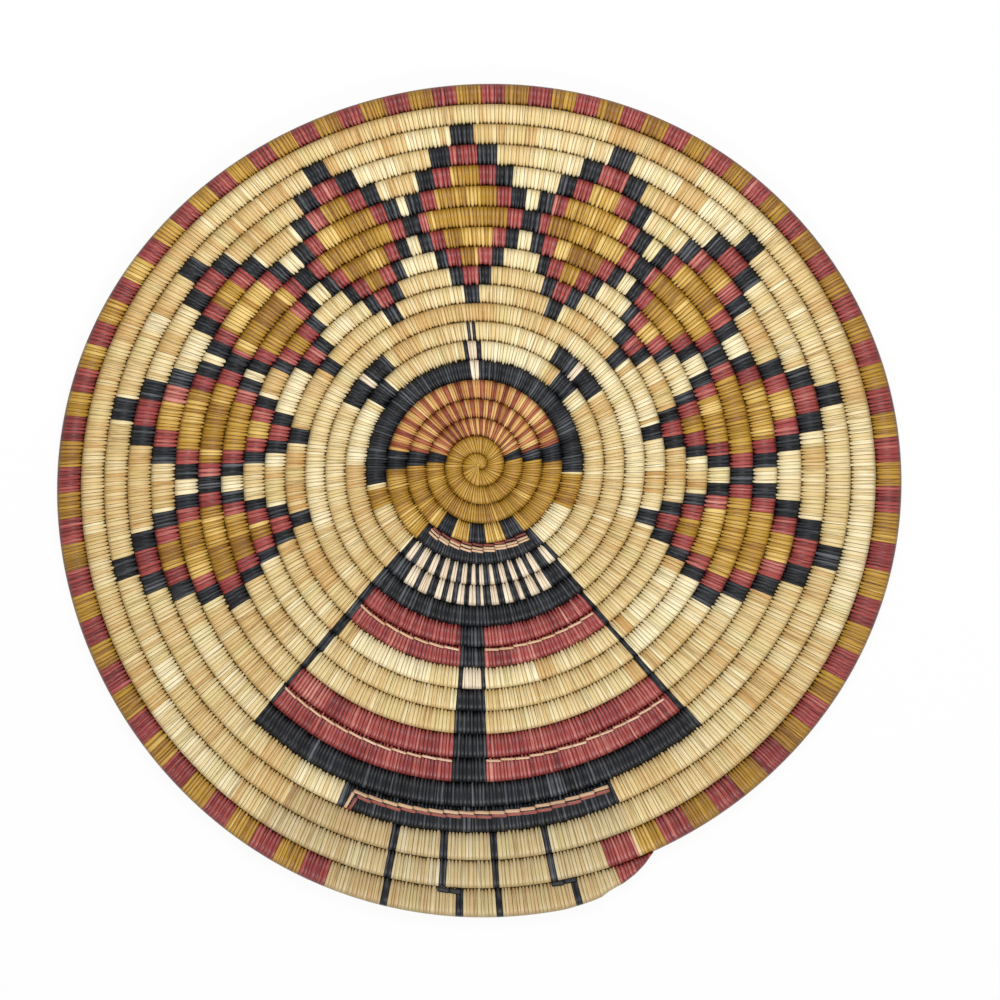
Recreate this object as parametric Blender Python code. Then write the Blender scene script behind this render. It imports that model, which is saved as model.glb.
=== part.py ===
"""A coiled plaque: a flat round tray sewn from one long spiral bundle of grass.

The bundle (the foundation) starts at a knot in the middle and winds counterclockwise to a
tapered tip at the rim. Strips of yucca leaf wrap it all the way and bind each round to the one
before. The wrapping is modelled as sleeves round the bundle, cut where the maker changes the
dye, and single strips laid over it draw the fine lines.

Places on the weave are given by a row, counted inwards from the rim, and an angle in degrees,
counterclockwise from +X. Each row runs from the tip's angle once round to the tip's angle.
"""
import math

import bmesh
import bpy
from mathutils import Vector

# The spiral: what sets the size of the whole plaque
TURNS = 20.243              # rounds from the centre to the tip of the coil
TIP_ANGLE = 293.5           # degrees, where the coil ends at the rim
CORE_PITCH = 0.00882        # width of a round at the centre
RIM_PITCH = 0.01158         # width of a round at the rim, where the bundle is fuller
COIL_HEIGHT = 0.0095        # thickness of the plaque

# How far the hand-sewn rounds stray from an even spiral
DRIFT_RIGHT = 0.0019        # the rounds' centre moves to +X from the middle to the rim
DRIFT_DOWN = 0.0108         # and to -Y
WANDER = 0.0007             # the bundle is a little fuller in some rounds than in others
WANDER_WAVES = 2            # how many times it does so from the centre to the rim
WANDER_PHASE_SHARE = 0.219  # where along the spiral the fuller rounds begin
WANDER_FADE_SHARE = 0.2     # the wander grows from nothing over this part of the spiral
OVAL_WAVE_SHARES = {2: (0.0214, 0.0113), 3: (0.0034, 0.003), 4: (0.0013, -0.0035)}
SWELL = 0.0083              # the last rounds are fullest near the tip and push the rim out
SWELL_ROUNDS = 3.4          # how many rounds in from the tip are fuller
SWELL_ANGLE = 294           # degrees, where the rim stands out most
SWELL_SPREAD = 35           # degrees, how far round the rim the fullness spreads

# The wrapping and its clearances
SEWING_THICKNESS = 0.0008   # wall of the wrapped strips
BUNDLE_CLEARANCE = 0.0003   # between the wrapping and the bundle inside it
ROUND_GAP = 0.00045         # between one round and the next
END_GAP = 0.0003            # between two lengths of wrapping, end to end

# The start and the tip
KNOT_CORNERS = 28           # corners of the spiral that are curled up in the start knot
KNOT_TOP_SHARE = 0.8        # how much of the knot's outline its flat top keeps
THIN_START_SHARE = 0.5      # width of the bundle where it leaves the knot
TIP_LENGTH = 0.0334         # length of the taper at the coil's end
TIP_PAST_ANGLE = 1.5        # degrees, how far the taper runs past the last row's end
# Stations along the taper: share of its length, and width of the round as a share
TIP_SHARES = ((0.0, 1.0), (0.06, 0.84), (0.37, 0.66), (0.6, 0.49), (0.8, 0.29), (0.97, 0.05))
TIP_WRAP_STATION = 2        # the last wraps, in red, begin at this station
TIP_BUNDLE_STATION = 3      # and the bundle stops at this one, inside them

# The strips laid over the wrapping
STRIP_WIDTH = 0.0011
WIDE_STRIP_WIDTH = 0.0015   # where two lie side by side, and in the steps between the legs
STRIP_THICKNESS = 0.0004
STRIP_SEAT = 0.0003         # clearance between a strip and the wrapping under it

LOOP_CORNERS = 24           # corners of one round
CORNER_ANGLE = 360 / LOOP_CORNERS
FIRST_CORNER = (TURNS - TIP_ANGLE / 360) % (1 / LOOP_CORNERS)
KNOT_TURNS = FIRST_CORNER + KNOT_CORNERS / LOOP_CORNERS
NEAR_SHARE = 0.01           # a corner nearer than this to an end is left out
ROUNDING = 1e-9             # keeps a corner from being counted as just before itself
# Corners stand out by half of a chord's rise, so that the rounds keep their mean radius
CORNER_SHARE = 1 + (1 - math.cos(math.radians(CORNER_ANGLE / 2))) / 2
# Section of a round: shares of its half width and half height, with a flat top and underside
SECTION_SHARES = ((1, 0), (0.72, 1), (-0.72, 1), (-1, 0), (-0.72, -1), (0.72, -1))
FLAT_SHARE = SECTION_SHARES[1][0]
SIDE_SLOPE_SHARE = 1.1      # inset at the sloping sides for each unit of inset at the top

# Dyes: colour and roughness
DYES = {
    "natural": ((0.74, 0.57, 0.32), 0.62),
    "ochre": ((0.46, 0.24, 0.04), 0.6),
    "red": ((0.34, 0.05, 0.055), 0.5),
    "black": ((0.022, 0.024, 0.032), 0.55),
    "cream": ((0.86, 0.7, 0.46), 0.6),
    "grass": ((0.5, 0.42, 0.2), 0.8),
}

# The wrapping from the knot to the rim: name, dye, and the row and angle where it ends.
# Each length starts where the one before it ends.
SLEEVES = (
    ("sewing_start_round", "ochre", 19, 293.5),
    ("sewing_head_round_inner", "ochre", 18, 293.5),
    ("sewing_head_round_middle", "ochre", 17, 293.5),
    ("sewing_head_round_outer", "ochre", 16, 228.5),
    ("sewing_collar", "black", 15, -50),
    ("sewing_cheek_right", "natural", 15, -3),
    ("sewing_hair_arc", "black", 15, 189.5),
    ("sewing_cheek_left", "natural", 15, 227),
    ("sewing_stripes_upper", "black", 14, -50),
    ("sewing_sweep_14", "natural", 14, 227),
    ("sewing_stripes_lower", "black", 13, -49.5),
    ("sewing_sweep_13", "natural", 13, 226.5),
    ("sewing_belt", "black", 12, -49.5),
    ("sewing_sweep_12", "natural", 12, 226.5),
    ("sewing_bodice_band_upper", "red", 11, -50),
    ("sewing_sweep_11", "natural", 11, 226.5),
    ("sewing_bodice_band_lower", "red", 10, -50),
    ("sewing_sweep_10", "natural", 9, -49.5),
    ("sewing_sweep_9", "natural", 8, -49.5),
    ("sewing_sweep_8", "natural", 7, -49.5),
    ("sewing_sweep_7", "natural", 7, 226),
    ("sewing_skirt_band_upper", "red", 6, -50),
    ("sewing_sweep_6", "natural", 6, 226),
    ("sewing_skirt_band_lower", "red", 5, -49.5),
    ("sewing_sweep_5", "natural", 5, 226),
    ("sewing_hem_upper", "black", 4, -48),
    ("sewing_sweep_4", "natural", 4, 246),
    ("sewing_hem_lower", "black", 4, 293.5),
    ("sewing_round_3", "natural", 3, 293.5),
    ("sewing_round_2", "natural", 2, 293.5),
)

# The laid strips that run along a round: name, dye, width, start (row, angle), end (row,
# angle), and where they lie across it, from -1 at the inner seam to 1 at the outer one
LAID_SHARES = (
    ("overlay_collar_red", "red", WIDE_STRIP_WIDTH, (16, 232.5), (15, -55), -0.55),
    ("overlay_collar_cream", "cream", WIDE_STRIP_WIDTH, (16, 232.5), (15, -55), -0.18),
    ("overlay_bodice_left", "cream", STRIP_WIDTH, (11, 228.5), (11, 263.5), -0.61),
    ("overlay_bodice_right", "cream", STRIP_WIDTH, (11, 271.5), (10, -51.5), -0.61),
    ("overlay_skirt_left", "cream", STRIP_WIDTH, (6, 227.1), (6, 264.1), -0.61),
    ("overlay_skirt_right", "cream", STRIP_WIDTH, (6, 271), (5, -50.5), -0.61),
    ("overlay_hem_red", "red", WIDE_STRIP_WIDTH, (4, 248.9), (4, 292.5), -0.28),
    ("overlay_hem_cream", "cream", WIDE_STRIP_WIDTH, (4, 248.1), (4, 292.5), -0.58),
    ("overlay_leg_step_left", "black", WIDE_STRIP_WIDTH, (1, 263.6), (1, 267), -0.57),
    ("overlay_leg_step_right", "black", WIDE_STRIP_WIDTH, (1, 279.9), (1, 283.4), -0.57),
)

# The laid strips that turn across a round at the corner of the hem: name, dye, place, reach
CROSS_SHARES = (
    ("overlay_hem_corner_red", "red", (4, 248.45), (-0.28, 0.7)),
    ("overlay_hem_corner_cream", "cream", (4, 247.65), (-0.7, 0.7)),
)
CROSS_STEPS = 4


def turn_at(row, angle):
    """The spiral's turn at a row and an angle, zero at the centre and TURNS at the tip."""
    return TURNS - (row - 1) - (TIP_ANGLE - angle) / 360


def corner(index):
    """A corner of the seam curve. The radius grows with the turn as the pitch widens, waves
    with the angle, and swells near the tip. The rounds' centre drifts with the turn's square."""
    turn = FIRST_CORNER + index / LOOP_CORNERS
    share = max(turn, 0) / TURNS
    angle = math.radians(TIP_ANGLE - 360 * (TURNS - turn))
    radius = TURNS * share * (CORE_PITCH + (RIM_PITCH - CORE_PITCH) * share / 2)
    wave = math.sin(2 * math.pi * WANDER_WAVES * (share - WANDER_PHASE_SHARE))
    radius += WANDER * wave * min(1, share / WANDER_FADE_SHARE)
    waves = sum(
        even * math.cos(count * angle) + odd * math.sin(count * angle)
        for count, (even, odd) in OVAL_WAVE_SHARES.items()
    )
    aside = (math.degrees(angle) - SWELL_ANGLE + 180) % 360 - 180
    fullness = max(0, 1 - (TURNS - turn) / SWELL_ROUNDS)
    swell = SWELL * fullness * math.exp(-((aside / SWELL_SPREAD) ** 2) / 2)
    radius = (radius * (1 + waves * share) + swell) * CORNER_SHARE
    drift = Vector((DRIFT_RIGHT, -DRIFT_DOWN, 0)) * share ** 2
    return drift + Vector((math.cos(angle), math.sin(angle), 0)) * radius


def seam_point(turn):
    """A point of the seam curve, straight between its corners."""
    steps = (turn - FIRST_CORNER) * LOOP_CORNERS
    low = math.floor(steps + ROUNDING)
    return corner(low).lerp(corner(low + 1), steps - low)


def tip_start():
    """The turn where the taper begins, and how much of a turn it takes."""
    length = arc_turns(TIP_LENGTH, TURNS)
    return TURNS + TIP_PAST_ANGLE / 360 - length, length


def tip_width(turn):
    """Width of the round as a share of its full width, straight between the tip's stations."""
    start, length = tip_start()
    past = (turn - start) / length
    for (low, wide), (high, narrow) in zip(TIP_SHARES, TIP_SHARES[1:]):
        if low < past <= high:
            return wide + (narrow - wide) * (past - low) / (high - low)
    return 1 if past <= 0 else TIP_SHARES[-1][1]


def arc_turns(length, turn):
    """How much of a turn a length along the rim of that turn takes."""
    return length / (2 * math.pi * seam_point(turn).length)


def section(turn):
    """Middle of the round, and the vector from there to its outer side."""
    outer, inner = seam_point(turn), seam_point(turn - 1)
    across = (outer - inner).normalized()
    reach = (outer - inner) / 2 - across * ROUND_GAP / 2
    middle = (outer + inner) / 2
    share = tip_width(turn)
    return middle - reach * (1 - share), reach * share


def surface(turn, across_share, lift=0.0):
    """A point on the upper side of a round, or above it by a lift."""
    middle, reach = section(turn)
    fall = max(0, abs(across_share) - FLAT_SHARE) / (1 - FLAT_SHARE)
    height = COIL_HEIGHT * (1 - fall / 2)
    return middle + reach * across_share + Vector((0, 0, height + lift))


def ring(turn, inset=0.0, width_share=1.0):
    """The section's outline, drawn in from the wrapping's outer face by an inset."""
    middle, reach = section(turn)
    half_width = reach * width_share - reach.normalized() * inset * SIDE_SLOPE_SHARE
    half_height = COIL_HEIGHT / 2 - inset
    return [
        middle + half_width * x + Vector((0, 0, COIL_HEIGHT / 2 + half_height * z))
        for x, z in SECTION_SHARES
    ]


def shifted(points, offset):
    """The points, moved."""
    return [point + offset for point in points]


def stations(start, end):
    """The turns from start to end: both ends, and every corner well between them."""
    first = math.floor((start - FIRST_CORNER) * LOOP_CORNERS + NEAR_SHARE) + 1
    last = math.ceil((end - FIRST_CORNER) * LOOP_CORNERS - NEAR_SHARE)
    inside = [FIRST_CORNER + index / LOOP_CORNERS for index in range(first, last)]
    return [start, *inside, end]


def bundle_width_share(turn):
    """The bundle leaves the knot thin and reaches its full width in one turn."""
    grown = min(1, max(0, turn - KNOT_TURNS))
    return THIN_START_SHARE + (1 - THIN_START_SHARE) * grown


def make_object(name, dye, vertices, faces):
    """A named object from vertices and faces, with its dye's material."""
    mesh = bpy.data.meshes.new(name)
    mesh.from_pydata(vertices, [], faces)
    shape = bmesh.new()
    shape.from_mesh(mesh)
    bmesh.ops.recalc_face_normals(shape, faces=shape.faces)
    shape.to_mesh(mesh)
    shape.free()
    mesh.shade_smooth()
    mesh.set_sharp_from_angle(angle=math.radians(30))
    mesh.materials.append(material(dye))
    piece = bpy.data.objects.new(name, mesh)
    bpy.context.scene.collection.objects.link(piece)
    return piece


def material(dye):
    """The dye's material, made once."""
    found = bpy.data.materials.get(dye)
    if found:
        return found
    colour, roughness = DYES[dye]
    made = bpy.data.materials.new(dye)
    made.use_nodes = True
    shader = made.node_tree.nodes["Principled BSDF"]
    shader.inputs["Base Color"].default_value = (*colour, 1)
    shader.inputs["Roughness"].default_value = roughness
    shader.inputs["Metallic"].default_value = 0
    made.diffuse_color = (*colour, 1)
    return made


def skin(rings, first=0):
    """Faces between each ring and the next, for rings stored one after another."""
    sides = len(rings[0])
    return [
        (
            first + step * sides + side,
            first + step * sides + (side + 1) % sides,
            first + (step + 1) * sides + (side + 1) % sides,
            first + (step + 1) * sides + side,
        )
        for step in range(len(rings) - 1)
        for side in range(sides)
    ]


def solid(name, dye, rings):
    """A bar through the rings, closed at both ends."""
    sides = len(rings[0])
    vertices = [point for outline in rings for point in outline]
    last = len(vertices) - sides
    ends = [tuple(range(sides)), tuple(range(last, last + sides))]
    return make_object(name, dye, vertices, skin(rings) + ends)


def sleeve(name, dye, outer, bore, blind=False):
    """A wrapping through the outer rings with a bore, open at both ends or blind at the far
    one. A blind sleeve's outer side goes on past the bore."""
    sides = len(outer[0])
    vertices = [point for outline in outer + bore for point in outline]
    inner = len(outer) * sides
    near = [(side, (side + 1) % sides) for side in range(sides)]
    faces = skin(outer) + skin(bore, inner)
    faces += [(a, b, inner + b, inner + a) for a, b in near]
    far_outer, far_inner = inner - sides, len(vertices) - sides
    if blind:
        faces.append(tuple(far_outer + side for side in range(sides)))
        faces.append(tuple(far_inner + side for side in range(sides)))
    else:
        faces += [(far_outer + a, far_outer + b, far_inner + b, far_inner + a) for a, b in near]
    return make_object(name, dye, vertices, faces)


def start_direction():
    """The way the bundle leaves the knot, square to the knot's step."""
    _, reach = section(KNOT_TURNS)
    return Vector((-reach.y, reach.x, 0)).normalized()


def make_knot():
    """The start knot: the bundle's thin end curled up tightly. Its outline follows the first
    turn's seam, with a step where the bundle leaves it."""
    outline = []
    for turn in stations(KNOT_TURNS - 1, KNOT_TURNS):
        point = seam_point(turn)
        outline.append(point - point.normalized() * ROUND_GAP / 2)
    levels = ((KNOT_TOP_SHARE, 0), (1, COIL_HEIGHT / 2), (KNOT_TOP_SHARE, COIL_HEIGHT))
    rings = [[point * share + Vector((0, 0, z)) for point in outline] for share, z in levels]
    return solid("start_knot", "ochre", rings)


def tip_turns():
    """The stations along the taper."""
    start, length = tip_start()
    return [start + share * length for share, _ in TIP_SHARES]


def make_foundation():
    """The grass bundle: one unbroken tube from the knot to the tip."""
    inset = SEWING_THICKNESS + BUNDLE_CLEARANCE
    tip = tip_turns()[:TIP_BUNDLE_STATION + 1]
    turns = stations(KNOT_TURNS, tip[0]) + tip[1:]
    del turns[1]
    rings = [ring(turn, inset, bundle_width_share(turn)) for turn in turns]
    rings[0] = shifted(rings[0], start_direction() * END_GAP)
    bundle = solid("foundation_coil", "grass", rings)
    print(f"least gap of the foundation coil to itself: {least_gap(rings) * 1000:.2f} mm")
    return bundle


def least_gap(rings):
    """The least distance between points of the tube that lie about a turn apart."""
    least = math.inf
    for index, outline in enumerate(rings):
        for other in rings[index + LOOP_CORNERS - 2:index + LOOP_CORNERS + 3]:
            least = min(least, *((a - b).length for a in outline for b in other))
    return least


def bore_ring(turn):
    """The bore's outline: the bundle's, with its clearance."""
    return ring(turn, SEWING_THICKNESS, bundle_width_share(turn))


def make_sleeves():
    """The wrapping, dye by dye, and the last wraps that close over the tip."""
    made = []
    start = KNOT_TURNS
    tip = tip_turns()
    taper, last_wraps = tip[:TIP_WRAP_STATION + 1], tip[TIP_WRAP_STATION:]
    ends = [turn_at(row, angle) for _, _, row, angle in SLEEVES]
    lengths = [(name, dye, end) for (name, dye, _, _), end in zip(SLEEVES, ends)]
    for name, dye, end in [*lengths, ("sewing_rim", "red", taper[-1])]:
        if end > taper[0]:
            turns = stations(start, taper[0]) + taper[1:]
            turns[-1] -= arc_turns(END_GAP, end)
        else:
            turns = stations(start, end - arc_turns(END_GAP, end))
        if start == KNOT_TURNS:
            del turns[1]
        outer = [ring(turn) for turn in turns]
        bore = [bore_ring(turn) for turn in turns]
        if start == KNOT_TURNS:
            outer[0] = shifted(outer[0], start_direction() * END_GAP)
            bore[0] = shifted(bore[0], start_direction() * END_GAP)
        made.append(sleeve(name, dye, outer, bore))
        start = end
    bore_turns = last_wraps[:-1]
    bore_turns[-1] = (bore_turns[-2] + bore_turns[-1]) / 2
    outer = [ring(turn) for turn in last_wraps]
    made.append(sleeve("coil_end", "red", outer, [bore_ring(t) for t in bore_turns], blind=True))
    return made


def make_laid_strips():
    """The single strips laid over the wrapping, along a round or across it."""
    made = []
    for name, dye, width, start, end, share in LAID_SHARES:
        rings = []
        for turn in stations(turn_at(*start), turn_at(*end)):
            half = width / 2 / section(turn)[1].length
            low, high = STRIP_SEAT, STRIP_SEAT + STRIP_THICKNESS
            corners = ((share - half, low), (share + half, low),
                       (share + half, high), (share - half, high))
            rings.append([surface(turn, place, lift) for place, lift in corners])
        made.append(solid(name, dye, rings))
    for name, dye, place, (near, far) in CROSS_SHARES:
        turn = turn_at(*place)
        half = arc_turns(WIDE_STRIP_WIDTH / 2, turn)
        rings = []
        for step in range(CROSS_STEPS + 1):
            share = near + (far - near) * step / CROSS_STEPS
            low, high = STRIP_SEAT, STRIP_SEAT + STRIP_THICKNESS
            corners = ((turn - half, low), (turn + half, low),
                       (turn + half, high), (turn - half, high))
            rings.append([surface(edge, share, lift) for edge, lift in corners])
        made.append(solid(name, dye, rings))
    return made


def middle_of_outline():
    """The middle of the plaque's outline, seen from above."""
    edge = [sum(section(turn), Vector()) for turn in stations(TURNS - 1, TURNS)]
    xs, ys = [point.x for point in edge], [point.y for point in edge]
    return Vector(((min(xs) + max(xs)) / 2, (min(ys) + max(ys)) / 2, 0))


def main():
    """Clear the scene and build the plaque, with its origin under the middle of its outline."""
    for old in list(bpy.data.objects):
        bpy.data.objects.remove(old, do_unlink=True)
    pieces = [make_knot(), make_foundation(), *make_sleeves(), *make_laid_strips()]
    plaque = bpy.data.objects.new("plaque", None)
    bpy.context.scene.collection.objects.link(plaque)
    plaque.location = -middle_of_outline()
    for piece in pieces:
        piece.parent = plaque
    print(f"{len(pieces)} pieces")


main()
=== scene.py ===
# %% [markdown]
# # A coiled plaque, stitch by stitch
#
# The real plaque is one long bundle of grass stems, wound in a flat spiral and sewn all the way
# with strips of split yucca leaf. Each strip goes over the new round and through the edge of the
# round inside it. Nothing is painted: the picture comes from changing the dye of the strip, so
# every edge in it follows a stitch. That is why this scene makes real stitches, nearly seven
# thousand of them, as one surface along the spiral, and gives each its own dye and tone.
#
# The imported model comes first. Its solids fix where every round lies, and all the finished
# pieces are built around them.

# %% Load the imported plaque
import math

import bpy
import numpy as np
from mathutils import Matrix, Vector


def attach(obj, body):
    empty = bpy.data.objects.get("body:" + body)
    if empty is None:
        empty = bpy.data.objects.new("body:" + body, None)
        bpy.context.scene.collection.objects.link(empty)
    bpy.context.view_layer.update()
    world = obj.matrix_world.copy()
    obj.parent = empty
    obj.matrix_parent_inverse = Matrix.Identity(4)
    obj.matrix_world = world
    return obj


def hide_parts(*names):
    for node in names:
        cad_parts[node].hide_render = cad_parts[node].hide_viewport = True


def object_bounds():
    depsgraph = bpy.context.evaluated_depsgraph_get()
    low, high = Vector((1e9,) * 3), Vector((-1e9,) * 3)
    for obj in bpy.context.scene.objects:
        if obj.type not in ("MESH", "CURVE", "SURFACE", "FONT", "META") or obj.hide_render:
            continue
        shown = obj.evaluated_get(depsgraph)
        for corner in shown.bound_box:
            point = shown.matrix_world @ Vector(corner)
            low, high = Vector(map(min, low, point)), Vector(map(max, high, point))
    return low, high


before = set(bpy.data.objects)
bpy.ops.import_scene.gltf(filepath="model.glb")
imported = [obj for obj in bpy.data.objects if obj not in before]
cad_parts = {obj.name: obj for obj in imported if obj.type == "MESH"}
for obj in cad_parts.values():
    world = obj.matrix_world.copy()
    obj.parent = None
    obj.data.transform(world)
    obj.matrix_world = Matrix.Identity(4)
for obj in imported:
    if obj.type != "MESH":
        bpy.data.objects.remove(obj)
cad_low, cad_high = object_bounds()
print("plaque in millimetres:", [round(v * 1000, 1) for v in cad_high - cad_low])

# %% [markdown]
# ## The camera
#
# The photograph looks straight down on the plaque from far away. A long lens gives that flat
# look without losing perspective for the other views. The picture is 1000 pixels wide and
# shows 2.068 pixels for each millimetre, which fixes how much the lens takes in.

# %% Camera
MM = 0.001
PICTURE_PIXELS = 1000
PIXELS_PER_MM = 2.068
PLAQUE_PIXEL = (479.2, 500.6)   # where the middle of the plaque's outline lies in the picture
CAMERA_HEIGHT = 1.7
SENSOR_MM = 36

plaque_height = cad_high.z
seen_width = PICTURE_PIXELS / PIXELS_PER_MM * MM
eye = bpy.data.cameras.new("camera")
eye.sensor_width = SENSOR_MM
eye.lens = SENSOR_MM * (CAMERA_HEIGHT - plaque_height) / seen_width
camera = bpy.data.objects.new("camera", eye)
camera.location = (
    (PICTURE_PIXELS / 2 - PLAQUE_PIXEL[0]) / PIXELS_PER_MM * MM,
    (PLAQUE_PIXEL[1] - PICTURE_PIXELS / 2) / PIXELS_PER_MM * MM,
    CAMERA_HEIGHT,
)
bpy.context.scene.collection.objects.link(camera)
bpy.context.scene.camera = camera
print(f"lens {eye.lens:.0f} mm, {seen_width * 1000:.0f} mm across the picture")

# %% [markdown]
# ## Shader sums as plain Python
#
# A material's pattern is arithmetic on wires. Written node by node it hides its own idea, so a
# small class wraps a socket and lets `+`, `*` and the rest add the Math nodes. One more method
# makes any other node from its type, its settings and the values or links of its sockets.

# %% A wire
def sum_of(operation, turned=False):
    """A method that adds the Math node of this operation. Turned, the other value is first, as
    in 1 - mask, where Python asks the wire on the right."""
    def method(wire, other):
        values = (other, wire) if turned else (wire, other)
        return wire.math(operation, *values)
    return method


class Wire:
    """A number that runs through a material. Sums and products of wires add Math nodes."""

    def __init__(self, finish, socket):
        self.finish, self.socket = finish, socket

    def math(self, operation, *values):
        """A Math node with this operation on the values, in their order."""
        sockets = dict(enumerate(values))
        return self.finish.node("ShaderNodeMath", {"operation": operation}, sockets)

    __add__, __radd__ = sum_of("ADD"), sum_of("ADD", turned=True)
    __sub__, __rsub__ = sum_of("SUBTRACT"), sum_of("SUBTRACT", turned=True)
    __mul__, __rmul__ = sum_of("MULTIPLY"), sum_of("MULTIPLY", turned=True)
    larger = sum_of("MAXIMUM")

    def __abs__(self):
        return self.math("ABSOLUTE", self)

    def floor(self):
        return self.math("FLOOR", self)

    def fraction(self):
        return self.math("FRACT", self)

    def ramp(self, low, high, kind="LINEAR"):
        """0 below low, 1 above high, and a straight ramp between them."""
        sockets = {"Value": self, "From Min": low, "From Max": high}
        return self.finish.node("ShaderNodeMapRange", {"interpolation_type": kind}, sockets)

    def rise(self, low, high):
        """The same with a smooth step."""
        return self.ramp(low, high, "SMOOTHSTEP")


print("wires can be added, taken away, multiplied, compared and ramped")


# %% A finish
class Finish:
    """A material while it is being made, with its own Principled shader."""

    def __init__(self, name, **shader_values):
        self.material = bpy.data.materials.new(name)
        self.material.use_nodes = True
        self.tree = self.material.node_tree
        self.shader = self.tree.nodes["Principled BSDF"]
        for socket, value in shader_values.items():
            self.shader.inputs[socket.replace("_", " ")].default_value = value

    def node(self, kind, settings=None, sockets=None, output=0):
        """One node: its type, its settings, set first, then its sockets' values or links."""
        made = self.tree.nodes.new(kind)
        for name, value in (settings or {}).items():
            setattr(made, name, value)
        for name, value in (sockets or {}).items():
            if isinstance(value, Wire):
                self.tree.links.new(value.socket, made.inputs[name])
            else:
                made.inputs[name].default_value = value
        return Wire(self, made.outputs[output])

    def vector(self, x, y, z=0.0):
        """A place from three numbers."""
        return self.node("ShaderNodeCombineXYZ", None, {"X": x, "Y": y, "Z": z})

    def parts(self, vector):
        """The three numbers of a place."""
        made = self.node("ShaderNodeSeparateXYZ", None, {"Vector": vector})
        return [Wire(self, socket) for socket in made.socket.node.outputs]

    def noise(self, place, detail):
        """Smooth random values between 0 and 1 over a place, one wave for each unit of it."""
        sockets = {"Vector": place, "Scale": 1.0, "Detail": detail}
        return self.node("ShaderNodeTexNoise", None, sockets)

    def chance(self, number):
        """A random value between 0 and 1 for each whole number."""
        settings = {"noise_dimensions": "1D"}
        return self.node("ShaderNodeTexWhiteNoise", settings, {"W": number})

    def mix(self, share, first, second):
        """A colour between two colours. A Mix node keeps its colour sockets at 6 and 7."""
        sockets = {0: share, 6: first, 7: second}
        return self.node("ShaderNodeMix", {"data_type": "RGBA"}, sockets, output=2)

    def feed(self, socket, wire):
        """Links a wire to a socket of the shader."""
        self.tree.links.new(wire.socket, self.shader.inputs[socket])


print("finishes can be wired up")


# %% Colours
def colour(red, green, blue):
    """A colour as it looks on a screen, 0 to 255, turned into the linear values that shaders
    use, by the usual sRGB curve."""
    seen = np.array([red, green, blue]) / 255
    linear = np.where(seen <= 0.04045, seen / 12.92, ((seen + 0.055) / 1.055) ** 2.4)
    return (*linear.tolist(), 1.0)


print("a screen's middle grey is", round(colour(128, 128, 128)[0], 3), "to a shader")

# %% [markdown]
# ## Soft studio light on a pale floor
#
# In the photograph the sides of the rounds that face down the picture are the brightest, and
# the upper half is a little brighter than the lower. One lamp can't do both. So a large soft
# lamp stands far off on the near side, another hangs close over the upper half, and a pale sky
# fills the rest. The floor is nearly white by its own colour. Where the camera sees it
# directly, most of it glows at 1, which is white, and the rest still shows the soft shadow.

# %% The lamps
LAMPS = (
    # name, place, width, power in watts
    ("overhead_softbox", (0.08, 0.5, 0.78), 0.5, 5.1),
    ("near_side_softbox", (0.3, -5.2, 3.4), 2.0, 235.0),
)


def add_lamp(name, place, width, power):
    """A square soft lamp that looks at the plaque."""
    glow = bpy.data.lights.new(name, "AREA")
    glow.size = width
    glow.energy = power
    lamp = bpy.data.objects.new(name, glow)
    lamp.location = place
    lamp.rotation_euler = lamp.location.to_track_quat("Z", "Y").to_euler()
    bpy.context.scene.collection.objects.link(lamp)


for lamp_values in LAMPS:
    add_lamp(*lamp_values)
print(len(LAMPS), "lamps")

# %% The floor
FLOOR_HALF = 5.0
FLOOR_DROP = 0.2 * MM           # the lowest stitches reach down to here
FLOOR_GREY = 0.9
FLOOR_GLOW = 0.92


def seen_directly(tree):
    """1 where the camera, a mirror or glass sees the surface, and 0 for all other light."""
    path = tree.nodes.new("ShaderNodeLightPath")
    seen = path.outputs["Is Camera Ray"]
    for name in ("Is Glossy Ray", "Is Transmission Ray"):
        either = tree.nodes.new("ShaderNodeMath")
        either.operation = "MAXIMUM"
        tree.links.new(seen, either.inputs[0])
        tree.links.new(path.outputs[name], either.inputs[1])
        seen = either.outputs[0]
    return seen


def make_floor():
    """A large pale square, a hair below the plaque."""
    pale = (FLOOR_GREY, FLOOR_GREY, FLOOR_GREY, 1)
    finish = Finish("floor", Base_Color=pale, Roughness=1.0, Specular_IOR_Level=0.0)
    tree = finish.tree
    glow = tree.nodes.new("ShaderNodeEmission")
    blend = tree.nodes.new("ShaderNodeMixShader")
    share = Wire(finish, seen_directly(tree)) * FLOOR_GLOW
    tree.links.new(share.socket, blend.inputs[0])
    tree.links.new(finish.shader.outputs[0], blend.inputs[1])
    tree.links.new(glow.outputs[0], blend.inputs[2])
    tree.links.new(blend.outputs[0], tree.nodes["Material Output"].inputs["Surface"])
    half = FLOOR_HALF
    corners = [(-half, -half), (half, -half), (half, half), (-half, half)]
    mesh = bpy.data.meshes.new("floor")
    mesh.from_pydata([(x, y, -FLOOR_DROP) for x, y in corners], [], [(0, 1, 2, 3)])
    mesh.materials.append(finish.material)
    floor = bpy.data.objects.new("floor", mesh)
    bpy.context.scene.collection.objects.link(floor)


make_floor()
print("a floor of", 2 * FLOOR_HALF, "metres")

# %% The sky
SKY_STRENGTH = 0.32


def make_sky():
    """A pale sky: white where it is seen directly, weaker as a light."""
    world = bpy.data.worlds.new("sky")
    world.use_nodes = True
    tree = world.node_tree
    background = tree.nodes["Background"]
    background.inputs["Color"].default_value = (1, 1, 1, 1)
    strength = tree.nodes.new("ShaderNodeMapRange")
    strength.inputs["To Min"].default_value = SKY_STRENGTH
    strength.inputs["To Max"].default_value = 1.0
    tree.links.new(seen_directly(tree), strength.inputs["Value"])
    tree.links.new(strength.outputs[0], background.inputs["Strength"])
    bpy.context.scene.world = world


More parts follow.
